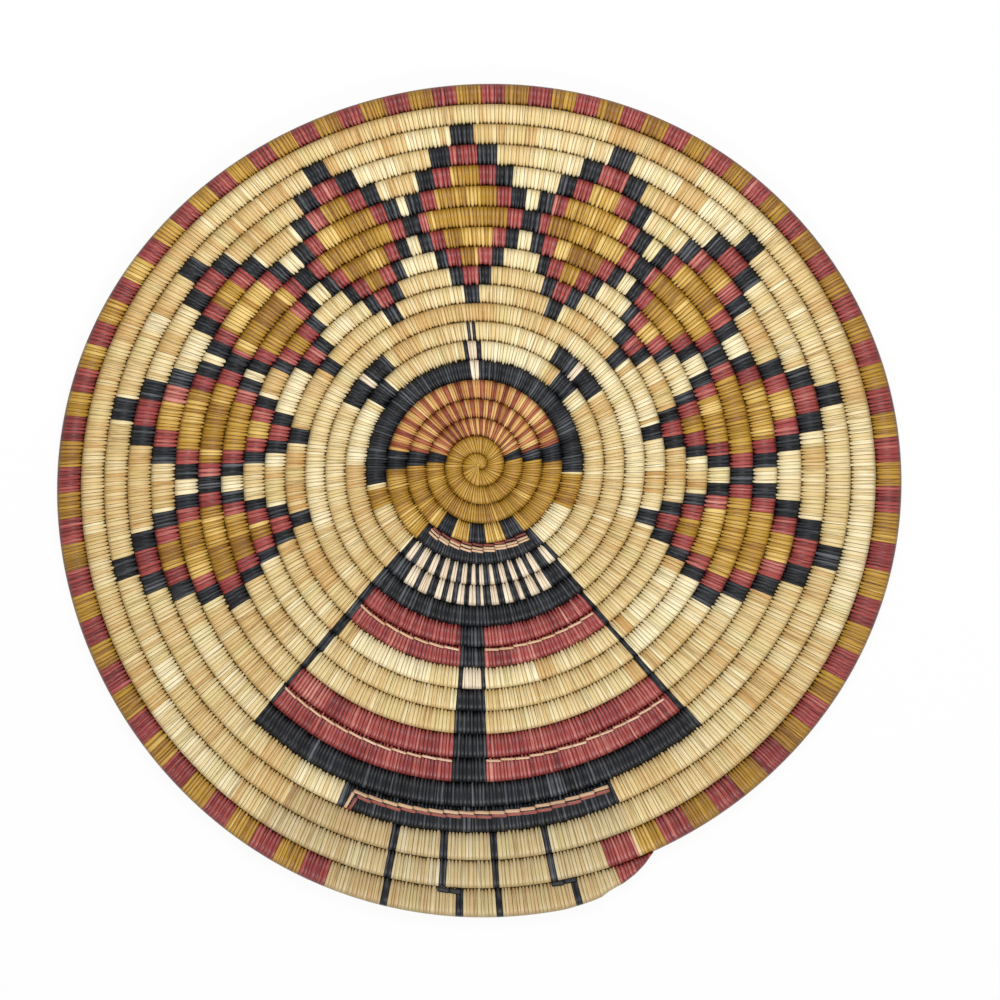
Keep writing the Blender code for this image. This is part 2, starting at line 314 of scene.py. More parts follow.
make_sky()
bpy.context.scene.view_settings.view_transform = "Standard"
print("a sky of strength", SKY_STRENGTH)

# %% [markdown]
# ## The spiral that everything follows
#
# A turn of 0 is the centre and a turn of 20.243 is the tip at the rim. The radius grows with
# the turn, a little faster towards the rim, where the maker's bundle was fuller. Hand work
# strays: the rounds are slightly oval, their centre drifts down, and the last three swell near
# the tip. These are the same sizes as in the solids, on a smooth curve instead of corners.
# A Screw modifier or a bevelled curve could wind a coil too. A formula for the seam can also
# be asked by every stitch, strip and knot where the weave is, and so all of them agree.
#
# Rows are counted inwards from the rim. Each row runs counterclockwise from the tip's angle
# once round, so a place in the weave is a row and an angle, as on a weaver's chart.

# %% The seam curve
TURNS = 20.243
TIP_ANGLE = 293.5
CORE_PITCH = 8.82 * MM
RIM_PITCH = 11.58 * MM
COIL_HEIGHT = 9.5 * MM
DRIFT_RIGHT = 1.9 * MM
DRIFT_DOWN = 10.8 * MM
WANDER = 0.7 * MM
WANDER_WAVES = 2
WANDER_PHASE_SHARE = 0.219
WANDER_FADE_SHARE = 0.2
OVAL_WAVE_SHARES = {2: (0.0214, 0.0113), 3: (0.0034, 0.003), 4: (0.0013, -0.0035)}
SWELL = 8.3 * MM
SWELL_ROUNDS = 3.4
SWELL_ANGLE = 294
SWELL_SPREAD = 35
SAMPLES_PER_TURN = 720


def turn_at(row, angle):
    """The turn at a row and an angle. Past the tip's angle it goes on into the next row out."""
    return TURNS - (row - 1) - (TIP_ANGLE - angle) / 360


def seam(turn):
    """Points of the seam curve in the plane, for an array of turns. The radius is the turn
    times a pitch that widens with the turn, plus a small wander, times one plus a sum of waves
    of the angle, plus a bell-shaped swell near the tip. The centre drifts with the square of
    the turn."""
    share = np.maximum(turn, 0) / TURNS
    angle = np.radians(TIP_ANGLE - 360 * (TURNS - turn))
    radius = TURNS * share * (CORE_PITCH + (RIM_PITCH - CORE_PITCH) * share / 2)
    wave = np.sin(2 * np.pi * WANDER_WAVES * (share - WANDER_PHASE_SHARE))
    radius = radius + WANDER * wave * np.minimum(1, share / WANDER_FADE_SHARE)
    waves = sum(
        even * np.cos(count * angle) + odd * np.sin(count * angle)
        for count, (even, odd) in OVAL_WAVE_SHARES.items()
    )
    aside = (np.degrees(angle) - SWELL_ANGLE + 180) % 360 - 180
    fullness = np.maximum(0, 1 - (TURNS - turn) / SWELL_ROUNDS)
    swell = SWELL * fullness * np.exp(-((aside / SWELL_SPREAD) ** 2) / 2)
    radius = radius * (1 + waves * share) + swell
    x = DRIFT_RIGHT * share ** 2 + radius * np.cos(angle)
    y = -DRIFT_DOWN * share ** 2 + radius * np.sin(angle)
    return np.stack([x, y], -1)


rim_line = seam(np.linspace(TURNS - 1, TURNS, SAMPLES_PER_TURN + 1))
WEAVE_ORIGIN = -(rim_line.min(0) + rim_line.max(0)) / 2
print("outline of the rim in millimetres:", np.ptp(rim_line, axis=0) * 1000)

# %% The taper at the tip
TIP_LENGTH = 33.4 * MM
TIP_PAST_ANGLE = 1.5
# Stations along the taper: share of its length, and width as a share
TIP_SHARES = ((-0.6, 1.0), (-0.3, 0.95), (-0.12, 0.91), (0.0, 0.87), (0.06, 0.81), (0.12, 0.76),
              (0.25, 0.69), (0.37, 0.65), (0.6, 0.49), (0.8, 0.29), (1.0, 0.02))
END_TURN = TURNS + TIP_PAST_ANGLE / 360
TIP_TURNS = TIP_LENGTH / (2 * np.pi * np.linalg.norm(seam(np.array(TURNS))))


def tip_turn(share):
    """The turn at a share of the taper's length."""
    return END_TURN - TIP_TURNS * (1 - share)


def narrowing(turn):
    """Width of the round as a share of its full width, straight between the tip's stations."""
    return np.interp((turn - tip_turn(0)) / TIP_TURNS, *zip(*TIP_SHARES))


print("the taper takes", round(float(TIP_TURNS) * 360, 1), "degrees of the last round")

# %% The section of a round
ROUND_BITE = 0.03 * MM      # how far the strips press two rounds into each other


def round_point(turn, across, height):
    """Points of a round, from a turn, a place across it, 1 at its outer seam and -1 at its
    inner one, and a height, 1 at its top and -1 at its underside. The middle of the round is
    halfway between the seam at this turn and the seam one turn before. At the tip it keeps to
    the inner seam as it narrows, and sinks by half."""
    outer, inner = seam(turn), seam(turn - 1)
    step = outer - inner
    pitch = np.linalg.norm(step, axis=-1, keepdims=True)
    reach = step / 2 * (1 + ROUND_BITE / pitch)
    share = narrowing(turn)[..., None]
    flat = (outer + inner) / 2 - reach * (1 - share) + reach * share * across[..., None]
    level = COIL_HEIGHT / 2 * (1 + height * (0.5 + 0.5 * narrowing(turn)))
    return np.concatenate([flat + WEAVE_ORIGIN, level[..., None]], -1)


def half_reach(turn):
    """Half the width of the round."""
    return np.linalg.norm(seam(turn) - seam(turn - 1), axis=-1) / 2 + ROUND_BITE / 2


def outline_at(angle):
    """Across and height of the round's outline, an ellipse, at an angle."""
    return np.cos(angle), np.sin(angle)


def outline_height(inset):
    """Height of the outline at an inset from its side: the root of 1 less (1 - inset) squared."""
    return np.sqrt(1 - (1 - inset) ** 2)


print("the last round is", round(2000 * float(half_reach(np.array(TURNS - 0.5))), 1), "mm wide")

# %% [markdown]
# ## The weaver's chart
#
# Each stitch gets a dye: natural, ochre, brick red or black. The figure in the lower middle
# wears a banded dress, its head is ringed by a black arc with rays below it, and nine stepped
# diamonds fan out over the rounds above. An image mapped on the coil could hold all this, but
# its edges would run through stitches. So the chart is a list of runs of one dye, each from
# one turn to another, and later runs go over earlier ones. The diamonds are one motif, of the
# same widths row by row, on nine centre lines. In the rays the dyes are softer, salmon for
# ochre and rust for red, and small pale fields are of fresh white leaf.

# %% Dyes and runs
NATURAL, OCHRE, RED, BLACK, SALMON, RUST, WHITE, SHADED_NATURAL = range(8)
PALE, PLAIN = 0.9, -1.0     # marks for a run's tone: a pale one, and none
ROW_START = TIP_ANGLE - 360
chart = []


def run(kind, row, start, end, tone=PLAIN):
    """Puts a run of one row on the chart, between two angles, and may mark its tone."""
    chart.append((kind, turn_at(row, start), turn_at(row, end), tone))


def radius_of(row, angle):
    """Distance from the weave's centre to the middle of a row, at an angle."""
    turn = np.array(turn_at(row, angle))
    return float(np.linalg.norm(seam(turn) + seam(turn - 1)) / 2)


print("at the top the rim's middle is", round(radius_of(1, 90) / MM), "mm from the weave's centre")

# %% The nine diamonds
# Half the width in millimetres of each dye in each row of the motif, the outermost dye first.
DIAMOND = {
    3: ((BLACK, 5.2),),
    4: ((BLACK, 15.2), (RED, 6.2)),
    5: ((BLACK, 21.8), (RED, 14.2), (OCHRE, 6.5)),
    6: ((BLACK, 27.2), (RED, 20.5), (OCHRE, 14.0)),
    7: ((BLACK, 33.0), (RED, 25.0), (OCHRE, 18.2)),
    8: ((BLACK, 22.6), (RED, 17.0), (OCHRE, 11.0)),
    9: ((BLACK, 15.4), (RED, 10.3), (OCHRE, 3.9)),
    10: ((BLACK, 9.3), (RED, 3.6)),
    11: ((BLACK, 3.4),),
}
# Angle of each centre line in the outermost and in the innermost row of the motif, and how
# wide this diamond came out as a share of the usual width.
DIAMOND_LINES = (
    (-12.4, -15.6, 1.09), (14.0, 12.3, 1.03), (41.1, 39.2, 0.98), (66.5, 65.4, 1.03),
    (93.3, 92.6, 1.03), (118.1, 119.1, 0.97), (143.7, 145.2, 0.98), (168.5, 169.3, 1.05),
    (193.5, 194.9, 0.98),
)
PALE_GAP_ROWS = (6, 8)


def centre_angle(line, row):
    """The centre line's angle in a row, straight from its outer to its inner angle."""
    outer, inner = min(DIAMOND), max(DIAMOND)
    return line[0] + (line[1] - line[0]) * (row - outer) / (inner - outer)


def half_angle(line, row, half_width):
    """Half a width of the motif as an angle at its row."""
    return math.degrees(half_width * MM * line[2] / radius_of(row, centre_angle(line, row)))


for row in PALE_GAP_ROWS:
    for line, next_line in zip(DIAMOND_LINES, DIAMOND_LINES[1:]):
        run(NATURAL, row, centre_angle(line, row), centre_angle(next_line, row), PALE)
for line in DIAMOND_LINES:
    for row, parts in DIAMOND.items():
        middle = centre_angle(line, row)
        for kind, half_width in parts:
            half = half_angle(line, row, half_width)
            run(kind, row, middle - half, middle + half)
print(len(DIAMOND_LINES), "diamonds")

# %% The figure's dress
# The row, then the angles between which the dress spans it. The bands step outwards to both
# sides with each row, and pass the tip's angle on the right.
BANDS = (
    (BLACK, 16, 228.5, 310.0), (BLACK, 15, 227.0, 311.6), (BLACK, 14, 226.5, 310.5),
    (BLACK, 13, 226.3, 310.8), (RED, 12, 226.2, 310.3), (RED, 11, 226.5, 310.6),
    (RED, 7, 226.6, 311.3), (RED, 6, 226.6, 311.5), (BLACK, 5, 226.7, 311.9),
    (BLACK, 4, 245.8, 293.2),
)
# The narrow stripes left in the natural leaf in the two rows below the collar.
YOKE_STRIPES = {
    15: (230.0, 233.6, 236.5, 240.6, 243.4, 246.8, 249.8, 253.2, 255.4, 258.0, 260.7, 263.4,
         265.8, 268.1, 269.9, 272.3, 275.3, 277.6, 280.7, 283.7, 286.3, 289.1, 291.5, 294.9,
         297.6, 301.0, 305.7, 309.4),
    14: (236.1, 240.6, 242.8, 246.9, 250.4, 253.3, 255.7, 257.9, 260.2, 263.2, 265.3, 268.4,
         270.4, 271.8, 275.1, 278.2, 280.9, 284.3, 287.0, 289.4, 292.0, 295.9, 297.4, 301.3),
}
# Black runs over the bands: the dress's two edges and the sash down its middle.
DRESS_LINES = (
    (12, 226.2, 228.6), (12, 263.5, 271.5), (12, 309.0, 310.3),
    (11, 226.5, 228.8), (11, 264.0, 271.4), (11, 309.0, 310.6),
    (10, 226.5, 229.0), (10, 264.0, 265.2), (10, 270.3, 271.4), (10, 309.4, 310.5),
    (9, 226.5, 228.5), (9, 264.0, 271.2), (9, 309.7, 310.7),
    (8, 226.5, 228.0), (8, 264.0, 271.2), (8, 309.7, 311.0),
    (7, 226.6, 227.3), (7, 264.2, 271.2), (7, 310.0, 311.3),
    (6, 226.6, 227.3), (6, 264.3, 271.0), (6, 310.5, 311.5),
)
# The four lines below the hem. Two of them step sideways between the second row and the rim.
LEG_LINES = (
    (3, 255.5, 256.7), (3, 263.4, 264.6), (3, 271.3, 272.4), (3, 279.7, 280.7),
    (2, 255.7, 256.8), (2, 263.7, 264.7), (2, 271.5, 272.4), (2, 279.8, 280.8),
    (1, 256.0, 257.0), (1, 266.3, 267.3), (1, 271.8, 272.7), (1, 282.6, 283.5),
)

for band in BANDS:
    run(*band)
for row, ends in YOKE_STRIPES.items():
    for start, end in zip(ends[::2], ends[1::2]):
        run(WHITE, row, start, end)
for place in DRESS_LINES:
    run(BLACK, *place)
run(WHITE, 10, 265.2, 270.3)    # the white field in the sash
print(len(BANDS), "bands and", sum(map(len, YOKE_STRIPES.values())) // 2, "white stripes")

# %% The head
HEAD_RUNS = (
    # The face and the rounds at the centre
    *((OCHRE, row, ROW_START, TIP_ANGLE) for row in (20, 19, 18, 17)),
    (OCHRE, 16, ROW_START, 228.5),
    # The two ears
    (OCHRE, 15, -25.0, -4.5), (OCHRE, 15, 192.0, 202.0),
    # Three black blocks at the neck, the last one past the tip's angle
    (BLACK, 17, 235.5, 248.0), (BLACK, 17, 261.5, 275.0), (BLACK, 17, 290.0, 304.5),
    # The arc of hair and the white notch at its top
    (BLACK, 15, -3.0, 189.1), (WHITE, 15, 90.2, 95.1),
    # The blocks and lines that stand on the arc
    (BLACK, 14, 38.9, 49.7), (BLACK, 14, 137.1, 147.9),
    (BLACK, 14, 89.1, 97.4), (WHITE, 14, 91.4, 95.4),
    (BLACK, 13, 32.5, 57.1), (WHITE, 13, 43.6, 46.8),
    (BLACK, 13, 130.2, 153.7), (WHITE, 13, 140.5, 143.2),
    (BLACK, 13, 91.7, 95.1), (WHITE, 13, 93.0, 93.8),
)
RAY_ROWS = {16: (16.6, 169.0), 17: (18.6, 167.0), 18: (23.0, 163.0)}
RAY_PERIOD = 8.6
RAY_ANGLE = 96.2
RAY_HALF = {16: 1.7, 17: 1.9, 18: 2.0}
RED_FIELD = (59.5, 100.5)   # in the innermost row the rays close to one red field over the brow,
RED_FIELD_LINES = (68.8, 76.0, 83.6, 92.0, 98.5)    # with thin pale lines
LINE_HALF = 0.9
TEMPLE_HALF = 6.3           # the black wedges at the two ends of the rays
HEAD_TONE = 0.31            # the head is of an even, deeper ochre, but for some paler patches
PALE_OCHRE_TONE = 0.62
PALE_OCHRE = ((16, 206.0, 228.5), (17, 225.0, 235.5), (17, 248.0, 261.5), (17, 275.0, 290.0))

for kind, row, start, end in HEAD_RUNS:
    run(kind, row, start, end, HEAD_TONE if kind == OCHRE else PLAIN)
for place in PALE_OCHRE:
    run(OCHRE, *place, PALE_OCHRE_TONE)
for row, (right, left) in RAY_ROWS.items():
    run(SALMON, row, right, left)
    first_ray = math.ceil((right - RAY_ANGLE) / RAY_PERIOD)
    last_ray = math.floor((left - RAY_ANGLE) / RAY_PERIOD)
    for number in range(first_ray, last_ray + 1):
        middle = RAY_ANGLE + number * RAY_PERIOD
        run(RUST, row, middle - RAY_HALF[row], middle + RAY_HALF[row])
    if row == max(RAY_ROWS):
        run(RUST, row, *RED_FIELD)
        for line in RED_FIELD_LINES:
            run(SALMON, row, line - LINE_HALF, line + LINE_HALF)
    run(BLACK, row, right - 2 * TEMPLE_HALF, right)
    run(BLACK, row, left, left + 2 * TEMPLE_HALF)
print(last_ray - first_ray + 1, "rays")

# %% The rim
# The middles of the red blocks. Between these few counted blocks the others are spread evenly.
RIM_BLOCKS = ((0, -60.6), (3, -34.5), (7, -2.0), (14, 47.0), (20, 88.5), (26, 130.8),
              (32, 172.0), (37, 207.5), (42, 246.3))
RIM_RED_SHARE = 0.49
RIM_RED_TONE = 0.3
# The ochre bath was uneven here. The angles, and the tone of the ochre at each.
RIM_TONES = ((-62, 0.05), (-45, 0.05), (-22, 0.4), (10, 0.22), (27, 0.06), (100, 0.08),
             (118, 0.22), (135, 0.45), (155, 0.6), (176, 0.15), (205, 0.18), (225, 0.3))
RIM_START_END = -64.6       # the rim's first few stitches are still pale
RIM_OCHRE_END = 248.4
TIP_RED_START = 289.2

numbers = np.arange(RIM_BLOCKS[-1][0] + 1)
block_angles = np.interp(numbers, *zip(*RIM_BLOCKS))
for middle, period in zip(block_angles.tolist(), np.gradient(block_angles).tolist()):
    half = period / 2
    rim_tone = float(np.interp(middle, *zip(*RIM_TONES)))
    run(OCHRE, 1, middle - half, min(middle + half, RIM_OCHRE_END), rim_tone)
    half *= RIM_RED_SHARE
    run(RED, 1, middle - half, min(middle + half, RIM_OCHRE_END), RIM_RED_TONE)
run(OCHRE, 1, ROW_START, RIM_START_END, PALE_OCHRE_TONE)
run(NATURAL, 1, RIM_OCHRE_END, TIP_RED_START)
run(RED, 1, TIP_RED_START, TIP_ANGLE + TIP_PAST_ANGLE)
run(RED, 2, 288.3, 293.0)       # the red block inside the tip
for place in LEG_LINES:
    run(BLACK, *place)
print(len(block_angles), "red blocks on the rim,", len(chart), "runs on the chart")

# %% [markdown]
# ## Where each stitch lies
#
# The strips are narrow at the centre, about 1.2 mm, and 1.8 mm wide in the outer rounds. An
# array of one stitch along the coil could only give equal ones. Counting strips along the
# coil, and cutting the count at whole numbers, gives the edges of all stitches at once. A
# seeded random shift keeps them from being a machine's. A maker changes the dye where the
# picture needs it and fits the stitches between. So the nearest edge moves onto each end of a
# run, and the edges between two of these move along with them by their share.

# %% Stitch edges along the coil
KNOT_TURNS = 1.1777         # where the first round leaves the knot
STITCH_WIDTHS = ((1.2, 1.15 * MM), (4.5, 1.3 * MM), (8.0, 1.65 * MM), (12.0, 1.8 * MM))
KNOT_OVERLAP_TURNS = 0.003
EDGE_JITTER_SHARE = 0.13
CLOSEST_ENDS = 0.5          # in stitches: of two ends closer than this only the first counts
COUNTING_STEPS = 20001
SEED = 7

chance = np.random.default_rng(SEED)
fine = np.linspace(KNOT_TURNS - KNOT_OVERLAP_TURNS, END_TURN, COUNTING_STEPS)
middle_line = (seam(fine) + seam(fine - 1)) / 2
steps = np.linalg.norm(np.diff(middle_line, axis=0), axis=1)
widths = np.interp((fine[1:] + fine[:-1]) / 2, *zip(*STITCH_WIDTHS))
counted = np.concatenate([[0], np.cumsum(steps / widths)])
stitch_count = round(counted[-1])
edges = np.interp(np.linspace(0, counted[-1], stitch_count + 1), counted, fine)
edges[1:-1] += chance.normal(0, EDGE_JITTER_SHARE, stitch_count - 1) * np.diff(edges)[1:]
ends = np.unique([edges[0], edges[-1], *(end for entry in chart for end in entry[1:3])])
ends = ends[(ends >= edges[0]) & (ends <= edges[-1])]
counts = np.interp(ends, fine, counted)
ends = ends[np.diff(counts, prepend=-1) > CLOSEST_ENDS]
nearest = np.searchsorted((edges[1:] + edges[:-1]) / 2, ends)
nearest, first_of = np.unique(nearest, return_index=True)
pull = ends[first_of] - edges[nearest]
edges += np.interp(np.arange(stitch_count + 1), nearest, pull)
centres = (edges[1:] + edges[:-1]) / 2
print(f"{stitch_count} stitches along {steps.sum():.2f} m of coil, {len(nearest)} ends fitted")


# %% A dye for every stitch
def stitches_between(start, end):
    """The numbers of the stitches whose middles lie between two turns, or the nearest one."""
    first, last = np.searchsorted(centres, (start, end))
    if first == last:
        nearest_one = int(np.argmin(abs(centres - (start + end) / 2)))
        return slice(nearest_one, nearest_one + 1)
    return slice(first, last)


# Fields of even undyed leaf, and their tones. Below the hem the natural leaf is painted
# darker and duller, as painted shade on the lower part of the plaque.
UNDYED_FIELDS = (
    (SHADED_NATURAL, 1, 248.4, 289.2, 0.36), (SHADED_NATURAL, 2, 236.0, 288.3, 0.54), (SHADED_NATURAL, 3, 238.0, 256.0, 0.26),
    (SHADED_NATURAL, 3, 256.0, 293.4, 0.52), (NATURAL, 8, 271.2, 309.7, 0.58),
    (NATURAL, 9, 271.2, 309.7, 0.38), (NATURAL, 10, 271.4, 309.4, 0.76),
)

dye = np.full(stitch_count, NATURAL)
tone_mark = np.full(stitch_count, PLAIN)
for kind, start, end, mark in chart:
    places = stitches_between(start, end)
    dye[places] = kind
    tone_mark[places] = mark
for kind, row, start, end, mark in UNDYED_FIELDS:
    places = stitches_between(turn_at(row, start), turn_at(row, end))
    undyed = dye[places] == NATURAL
    dye[places] = np.where(undyed, kind, dye[places])
    tone_mark[places] = np.where(undyed, mark, tone_mark[places])
print("stitches of each dye:", np.bincount(dye))

# %% [markdown]
# ## Tones
#
# One dye bath is never even, and neither is one leaf. A strip is half a metre long, so its
# tone holds for a run of stitches and then jumps. Noise over the surface would change within a
# stitch, so each one gets a number instead: tone 0 is the darkest leaf of a dye and 1 the
# palest. Where black meets natural leaf, one fresh strip often stands out very pale.

# %% A tone for every stitch
# For each dye in the order of their numbers
TONE_LEVELS = (0.58, 0.46, 0.42, 0.44, 0.46, 0.42, 0.55, 0.55)
TONE_SPREADS = (0.2, 0.25, 0.11, 0.06, 0.2, 0.2, 0.12, 0.2)
MARKED_SPREAD_SHARE = 0.3
LONG_RUN, SHORT_RUN = (5, 36), (2, 9)   # stitches from one strip: undyed and dyed
STITCH_TONE_SPREAD = 0.09
TAN, TAN_RUN_SHARE = 0.22, 0.08
TAN_RUNS = ((12, 99.0, 111.0), (12, 113.5, 125.0), (13, 114.5, 127.0))
FRESH_TONE, FRESH_SHARE = 0.85, 0.4


def in_runs(lengths, values):
    """Values that stay the same over runs of stitches, each as long as a random draw."""
    run_ends = np.cumsum(chance.integers(*lengths, stitch_count))
    return values[np.searchsorted(run_ends, np.arange(stitch_count), side="right")]


natural, black = dye == NATURAL, dye == BLACK
long_runs, short_runs = (
    in_runs(lengths, chance.normal(0, 1, stitch_count)) for lengths in (LONG_RUN, SHORT_RUN)
)
tan_runs = in_runs(SHORT_RUN, chance.random(stitch_count)) < TAN_RUN_SHARE
swing = np.array(TONE_SPREADS)[dye] * np.where(natural, long_runs, short_runs)
marked_tone = tone_mark + MARKED_SPREAD_SHARE * swing
tone = np.where(tone_mark != PLAIN, marked_tone, np.array(TONE_LEVELS)[dye] + swing)
tone = tone + chance.normal(0, STITCH_TONE_SPREAD, stitch_count)
tone = np.where(natural & tan_runs, TAN, tone)
for row, start, end in TAN_RUNS:
    places = stitches_between(turn_at(row, start), turn_at(row, end))
    tone[places] = np.where(natural[places], TAN, tone[places])
tone = np.clip(tone, 0, 1)
beside_black = natural & (np.roll(black, 1) | np.roll(black, -1))
tone[beside_black & (chance.random(stitch_count) < FRESH_SHARE)] = FRESH_TONE
print("mean tone", round(float(tone.mean()), 2))

# %% [markdown]
# ## Leaf finishes
#
# Yucca leaf has fine straight fibres along the strip, a soft shine, and a tone that changes
# from strip to strip. A picture of leaf would repeat itself over seven thousand stitches, and
# noise, drawn out along the strip, doesn't. A UV map named strip gives each stitch's number
# plus the place across it, and the place along it, from -1 to 1 over the face, so the fibres
# run with the strip wherever it goes. In the grooves and at the seams the leaf's colour is
# mixed darker: painted shade, with a little dust in the grooves.

# %% Yucca leaf
# Waves of the noises: for each stitch, and for each unit of the place along it
FIBRES_ACROSS, FIBRES_ALONG = 7.0, 1.3
STREAKS_ACROSS, STREAKS_ALONG = 2.6, 0.7
DRIFT_ACROSS = 0.14
FIBRE_DETAIL, STREAK_DETAIL = 3.0, 1.0
STREAK_LAYER, DRIFT_LAYER = 4.0, 9.0   # heights in the noise, so that the three differ
FIBRE_CONTRAST, STREAK_CONTRAST, SHIFT_CONTRAST = 0.9, 0.85, 0.25      # as tone
DARK_TO_MIDDLE, MIDDLE_TO_PALE = (-0.05, 0.55), (0.45, 1.1)            # tones
TINT_DRIFT, TINT_SHARE = (0.45, 0.7), 0.45
FIBRE_STRENGTH = 0.22
FIBRE_DEPTH = 0.12 * MM
FIBRE_ROUGHNESS = 0.25
GROOVE_START = 0.72                    # of the strip's half width
# painted shade in the grooves between strips, with a little dust
GROOVE_SHADE, GROOVE_SHADE_SPREAD, GROOVE_SHADE_BY_STREAK = 0.5, 0.6, 1.2
SPLIT_STREAKS, SPLIT_SHADE = (0.42, 0.3), 0.5
TOOTH_START, TOOTH_TIP = 0.75, 0.92    # places along the strip
NOTCH_WIDTH = 0.88                     # of the strip's half width, at the tooth's tip
# painted shade in the notches beside the teeth, where the strips go down into the round inside
NOTCH_EDGE, NOTCH_SHADE = (1.0, 1.25), 0.9
# painted shade on the round's outer shoulder, where it curves away from the light
SHOULDER_PLACES, SHOULDER_SHADE = (0.32, 0.06), 0.6
# painted shade at the strip's root, by the inner seam
ROOT_PLACES, ROOT_SHADE = (0.6, 0.9), 0.2


def yucca_leaf(name, dark, middle, pale, tint, shade, roughness, shine=0.5, crest_highlight=0.0):
    """A leaf strip. Its colour runs from dark over middle to pale with the stitch's tone, which
    fibres and streaks along the strip and a shift for each stitch vary. A painted highlight
    makes a dyed strip paler along its middle and darker at its sides, by the crest highlight.
    Over some stitches the colour drifts to a tint. The deepest streaks are splits in the leaf.
    They and the grooves between strips are mixed towards the shade, some more than others; in
    the grooves this is painted shade, with a little dust. The round's outer shoulder, the
    strip's root at the inner seam, and the notches beside the teeth, where the edge widens
    towards the tooth's tip, are mixed towards it too, as painted shade."""
    finish = Finish(name, Specular_IOR_Level=shine)
    spot = finish.node("ShaderNodeUVMap", {"uv_map": "strip"})
    number_across, along, _ = finish.parts(spot)
    fibre_place = finish.vector(number_across * FIBRES_ACROSS, along * FIBRES_ALONG)
    streak_along = along * STREAKS_ALONG
    streak_place = finish.vector(number_across * STREAKS_ACROSS, streak_along, STREAK_LAYER)
    drift_place = finish.vector(number_across * DRIFT_ACROSS, 0.0, DRIFT_LAYER)
    fibres = finish.noise(fibre_place, FIBRE_DETAIL)
    streaks = finish.noise(streak_place, STREAK_DETAIL)
    drift = finish.noise(drift_place, STREAK_DETAIL)
    shift = finish.chance(number_across.floor())
    edge = abs(number_across.fraction() - 0.5) * 2
    tone = finish.node("ShaderNodeAttribute", {"attribute_name": "tone"}, output=2)
    tone = tone + (fibres - 0.5) * FIBRE_CONTRAST + (streaks - 0.5) * STREAK_CONTRAST
    # a painted highlight along the middle of a dyed strip, darker at its sides
    tone = tone + (shift - 0.5) * SHIFT_CONTRAST + (0.5 - edge) * crest_highlight
    leaf = finish.mix(tone.rise(*DARK_TO_MIDDLE), colour(*dark), colour(*middle))
    leaf = finish.mix(tone.rise(*MIDDLE_TO_PALE), leaf, colour(*pale))
    leaf = finish.mix(drift.rise(*TINT_DRIFT) * TINT_SHARE, leaf, colour(*tint))
    depth = finish.chance((number_across + 0.5).floor()) * GROOVE_SHADE_SPREAD + GROOVE_SHADE
    depth = depth + (streaks - 0.5) * GROOVE_SHADE_BY_STREAK
    groove = edge.rise(GROOVE_START, 1.0) * depth
    split = streaks.rise(*SPLIT_STREAKS) * SPLIT_SHADE
    widening = abs(along).ramp(TOOTH_START, TOOTH_TIP) * NOTCH_WIDTH
    notch = (edge + widening).rise(*NOTCH_EDGE) * NOTCH_SHADE
    shoulder = abs(along).rise(*SHOULDER_PLACES) * SHOULDER_SHADE
    root = abs(along).rise(*ROOT_PLACES) * ROOT_SHADE
    # painted shade in the grooves, notches, shoulder and root; the splits are the leaf's own
    dark_parts = groove.larger(split).larger(notch).larger(shoulder).larger(root)
    finish.feed("Base Color", finish.mix(dark_parts, leaf, colour(*shade)))
    finish.feed("Roughness", roughness + (fibres - 0.5) * FIBRE_ROUGHNESS)
    sockets = {"Strength": FIBRE_STRENGTH, "Distance": FIBRE_DEPTH, "Height": fibres}
    finish.feed("Normal", finish.node("ShaderNodeBump", None, sockets))
    return finish.material


print("outer fibres are", round(STITCH_WIDTHS[-1][1] / FIBRES_ACROSS / MM, 2), "mm wide")

# %% The leaf in its dyes
CREAM, ROSE, GRASS = range(8, 11)
FINISHES = tuple(yucca_leaf(*values) for values in (
    # name, dark, middle, pale, tint, shade, roughness, shine, crest highlight
    ("natural_leaf", (202, 154, 86), (226, 198, 138), (250, 236, 194), (222, 208, 140),
     (92, 66, 26), 0.5),
    ("ochre_leaf", (136, 90, 20), (190, 144, 50), (239, 204, 122), (186, 146, 28),
     (66, 40, 4), 0.5, 0.45, 0.3),
    ("red_leaf", (102, 33, 32), (163, 69, 64), (220, 146, 130), (154, 60, 66),
     (40, 8, 8), 0.42, 0.36, 0.3),
    ("black_leaf", (4, 4, 5), (37, 38, 41), (110, 113, 118), (32, 35, 44), (2, 2, 3),
     0.4, 0.17, 0.3),
    ("salmon_leaf", (166, 106, 50), (208, 156, 84), (238, 204, 136), (212, 144, 88),
     (84, 38, 10), 0.5, 0.4, 0.2),
    ("rust_leaf", (102, 42, 24), (154, 80, 50), (208, 136, 90), (148, 58, 52),
     (48, 14, 6), 0.48, 0.3, 0.3),
    ("white_leaf", (208, 180, 148), (239, 219, 188), (252, 240, 214), (234, 212, 188),
     (90, 64, 40), 0.5),
    # the natural leaf painted darker and duller, as painted shade below the hem
    ("shaded_natural_leaf", (184, 146, 92), (207, 183, 132), (232, 219, 186), (203, 192, 134),
     (84, 62, 28), 0.5),
    ("cream_leaf", (176, 126, 96), (222, 180, 142), (246, 222, 192), (224, 188, 132),
     (70, 24, 12), 0.5),
    ("rose_leaf", (112, 50, 46), (150, 78, 68), (192, 124, 106), (146, 70, 52),
     (44, 14, 12), 0.48, 0.4),
    ("grass_stem", (120, 104, 52), (158, 138, 78), (186, 168, 108), (150, 138, 70),
     (60, 50, 22), 0.7),
))
print(len(FINISHES), "finishes")

# %% [markdown]
# ## Grids into pieces
#
# Every piece here is a grid of points, wound round something: rows go along it and sides go
# round it. Blender could skin or bevel a line of edges, but then the number and the order of
# its faces are Blender's. With a grid they follow from its size alone, so each face's dye and
# tone, and each corner's place on the strip, are arrays of the same order.

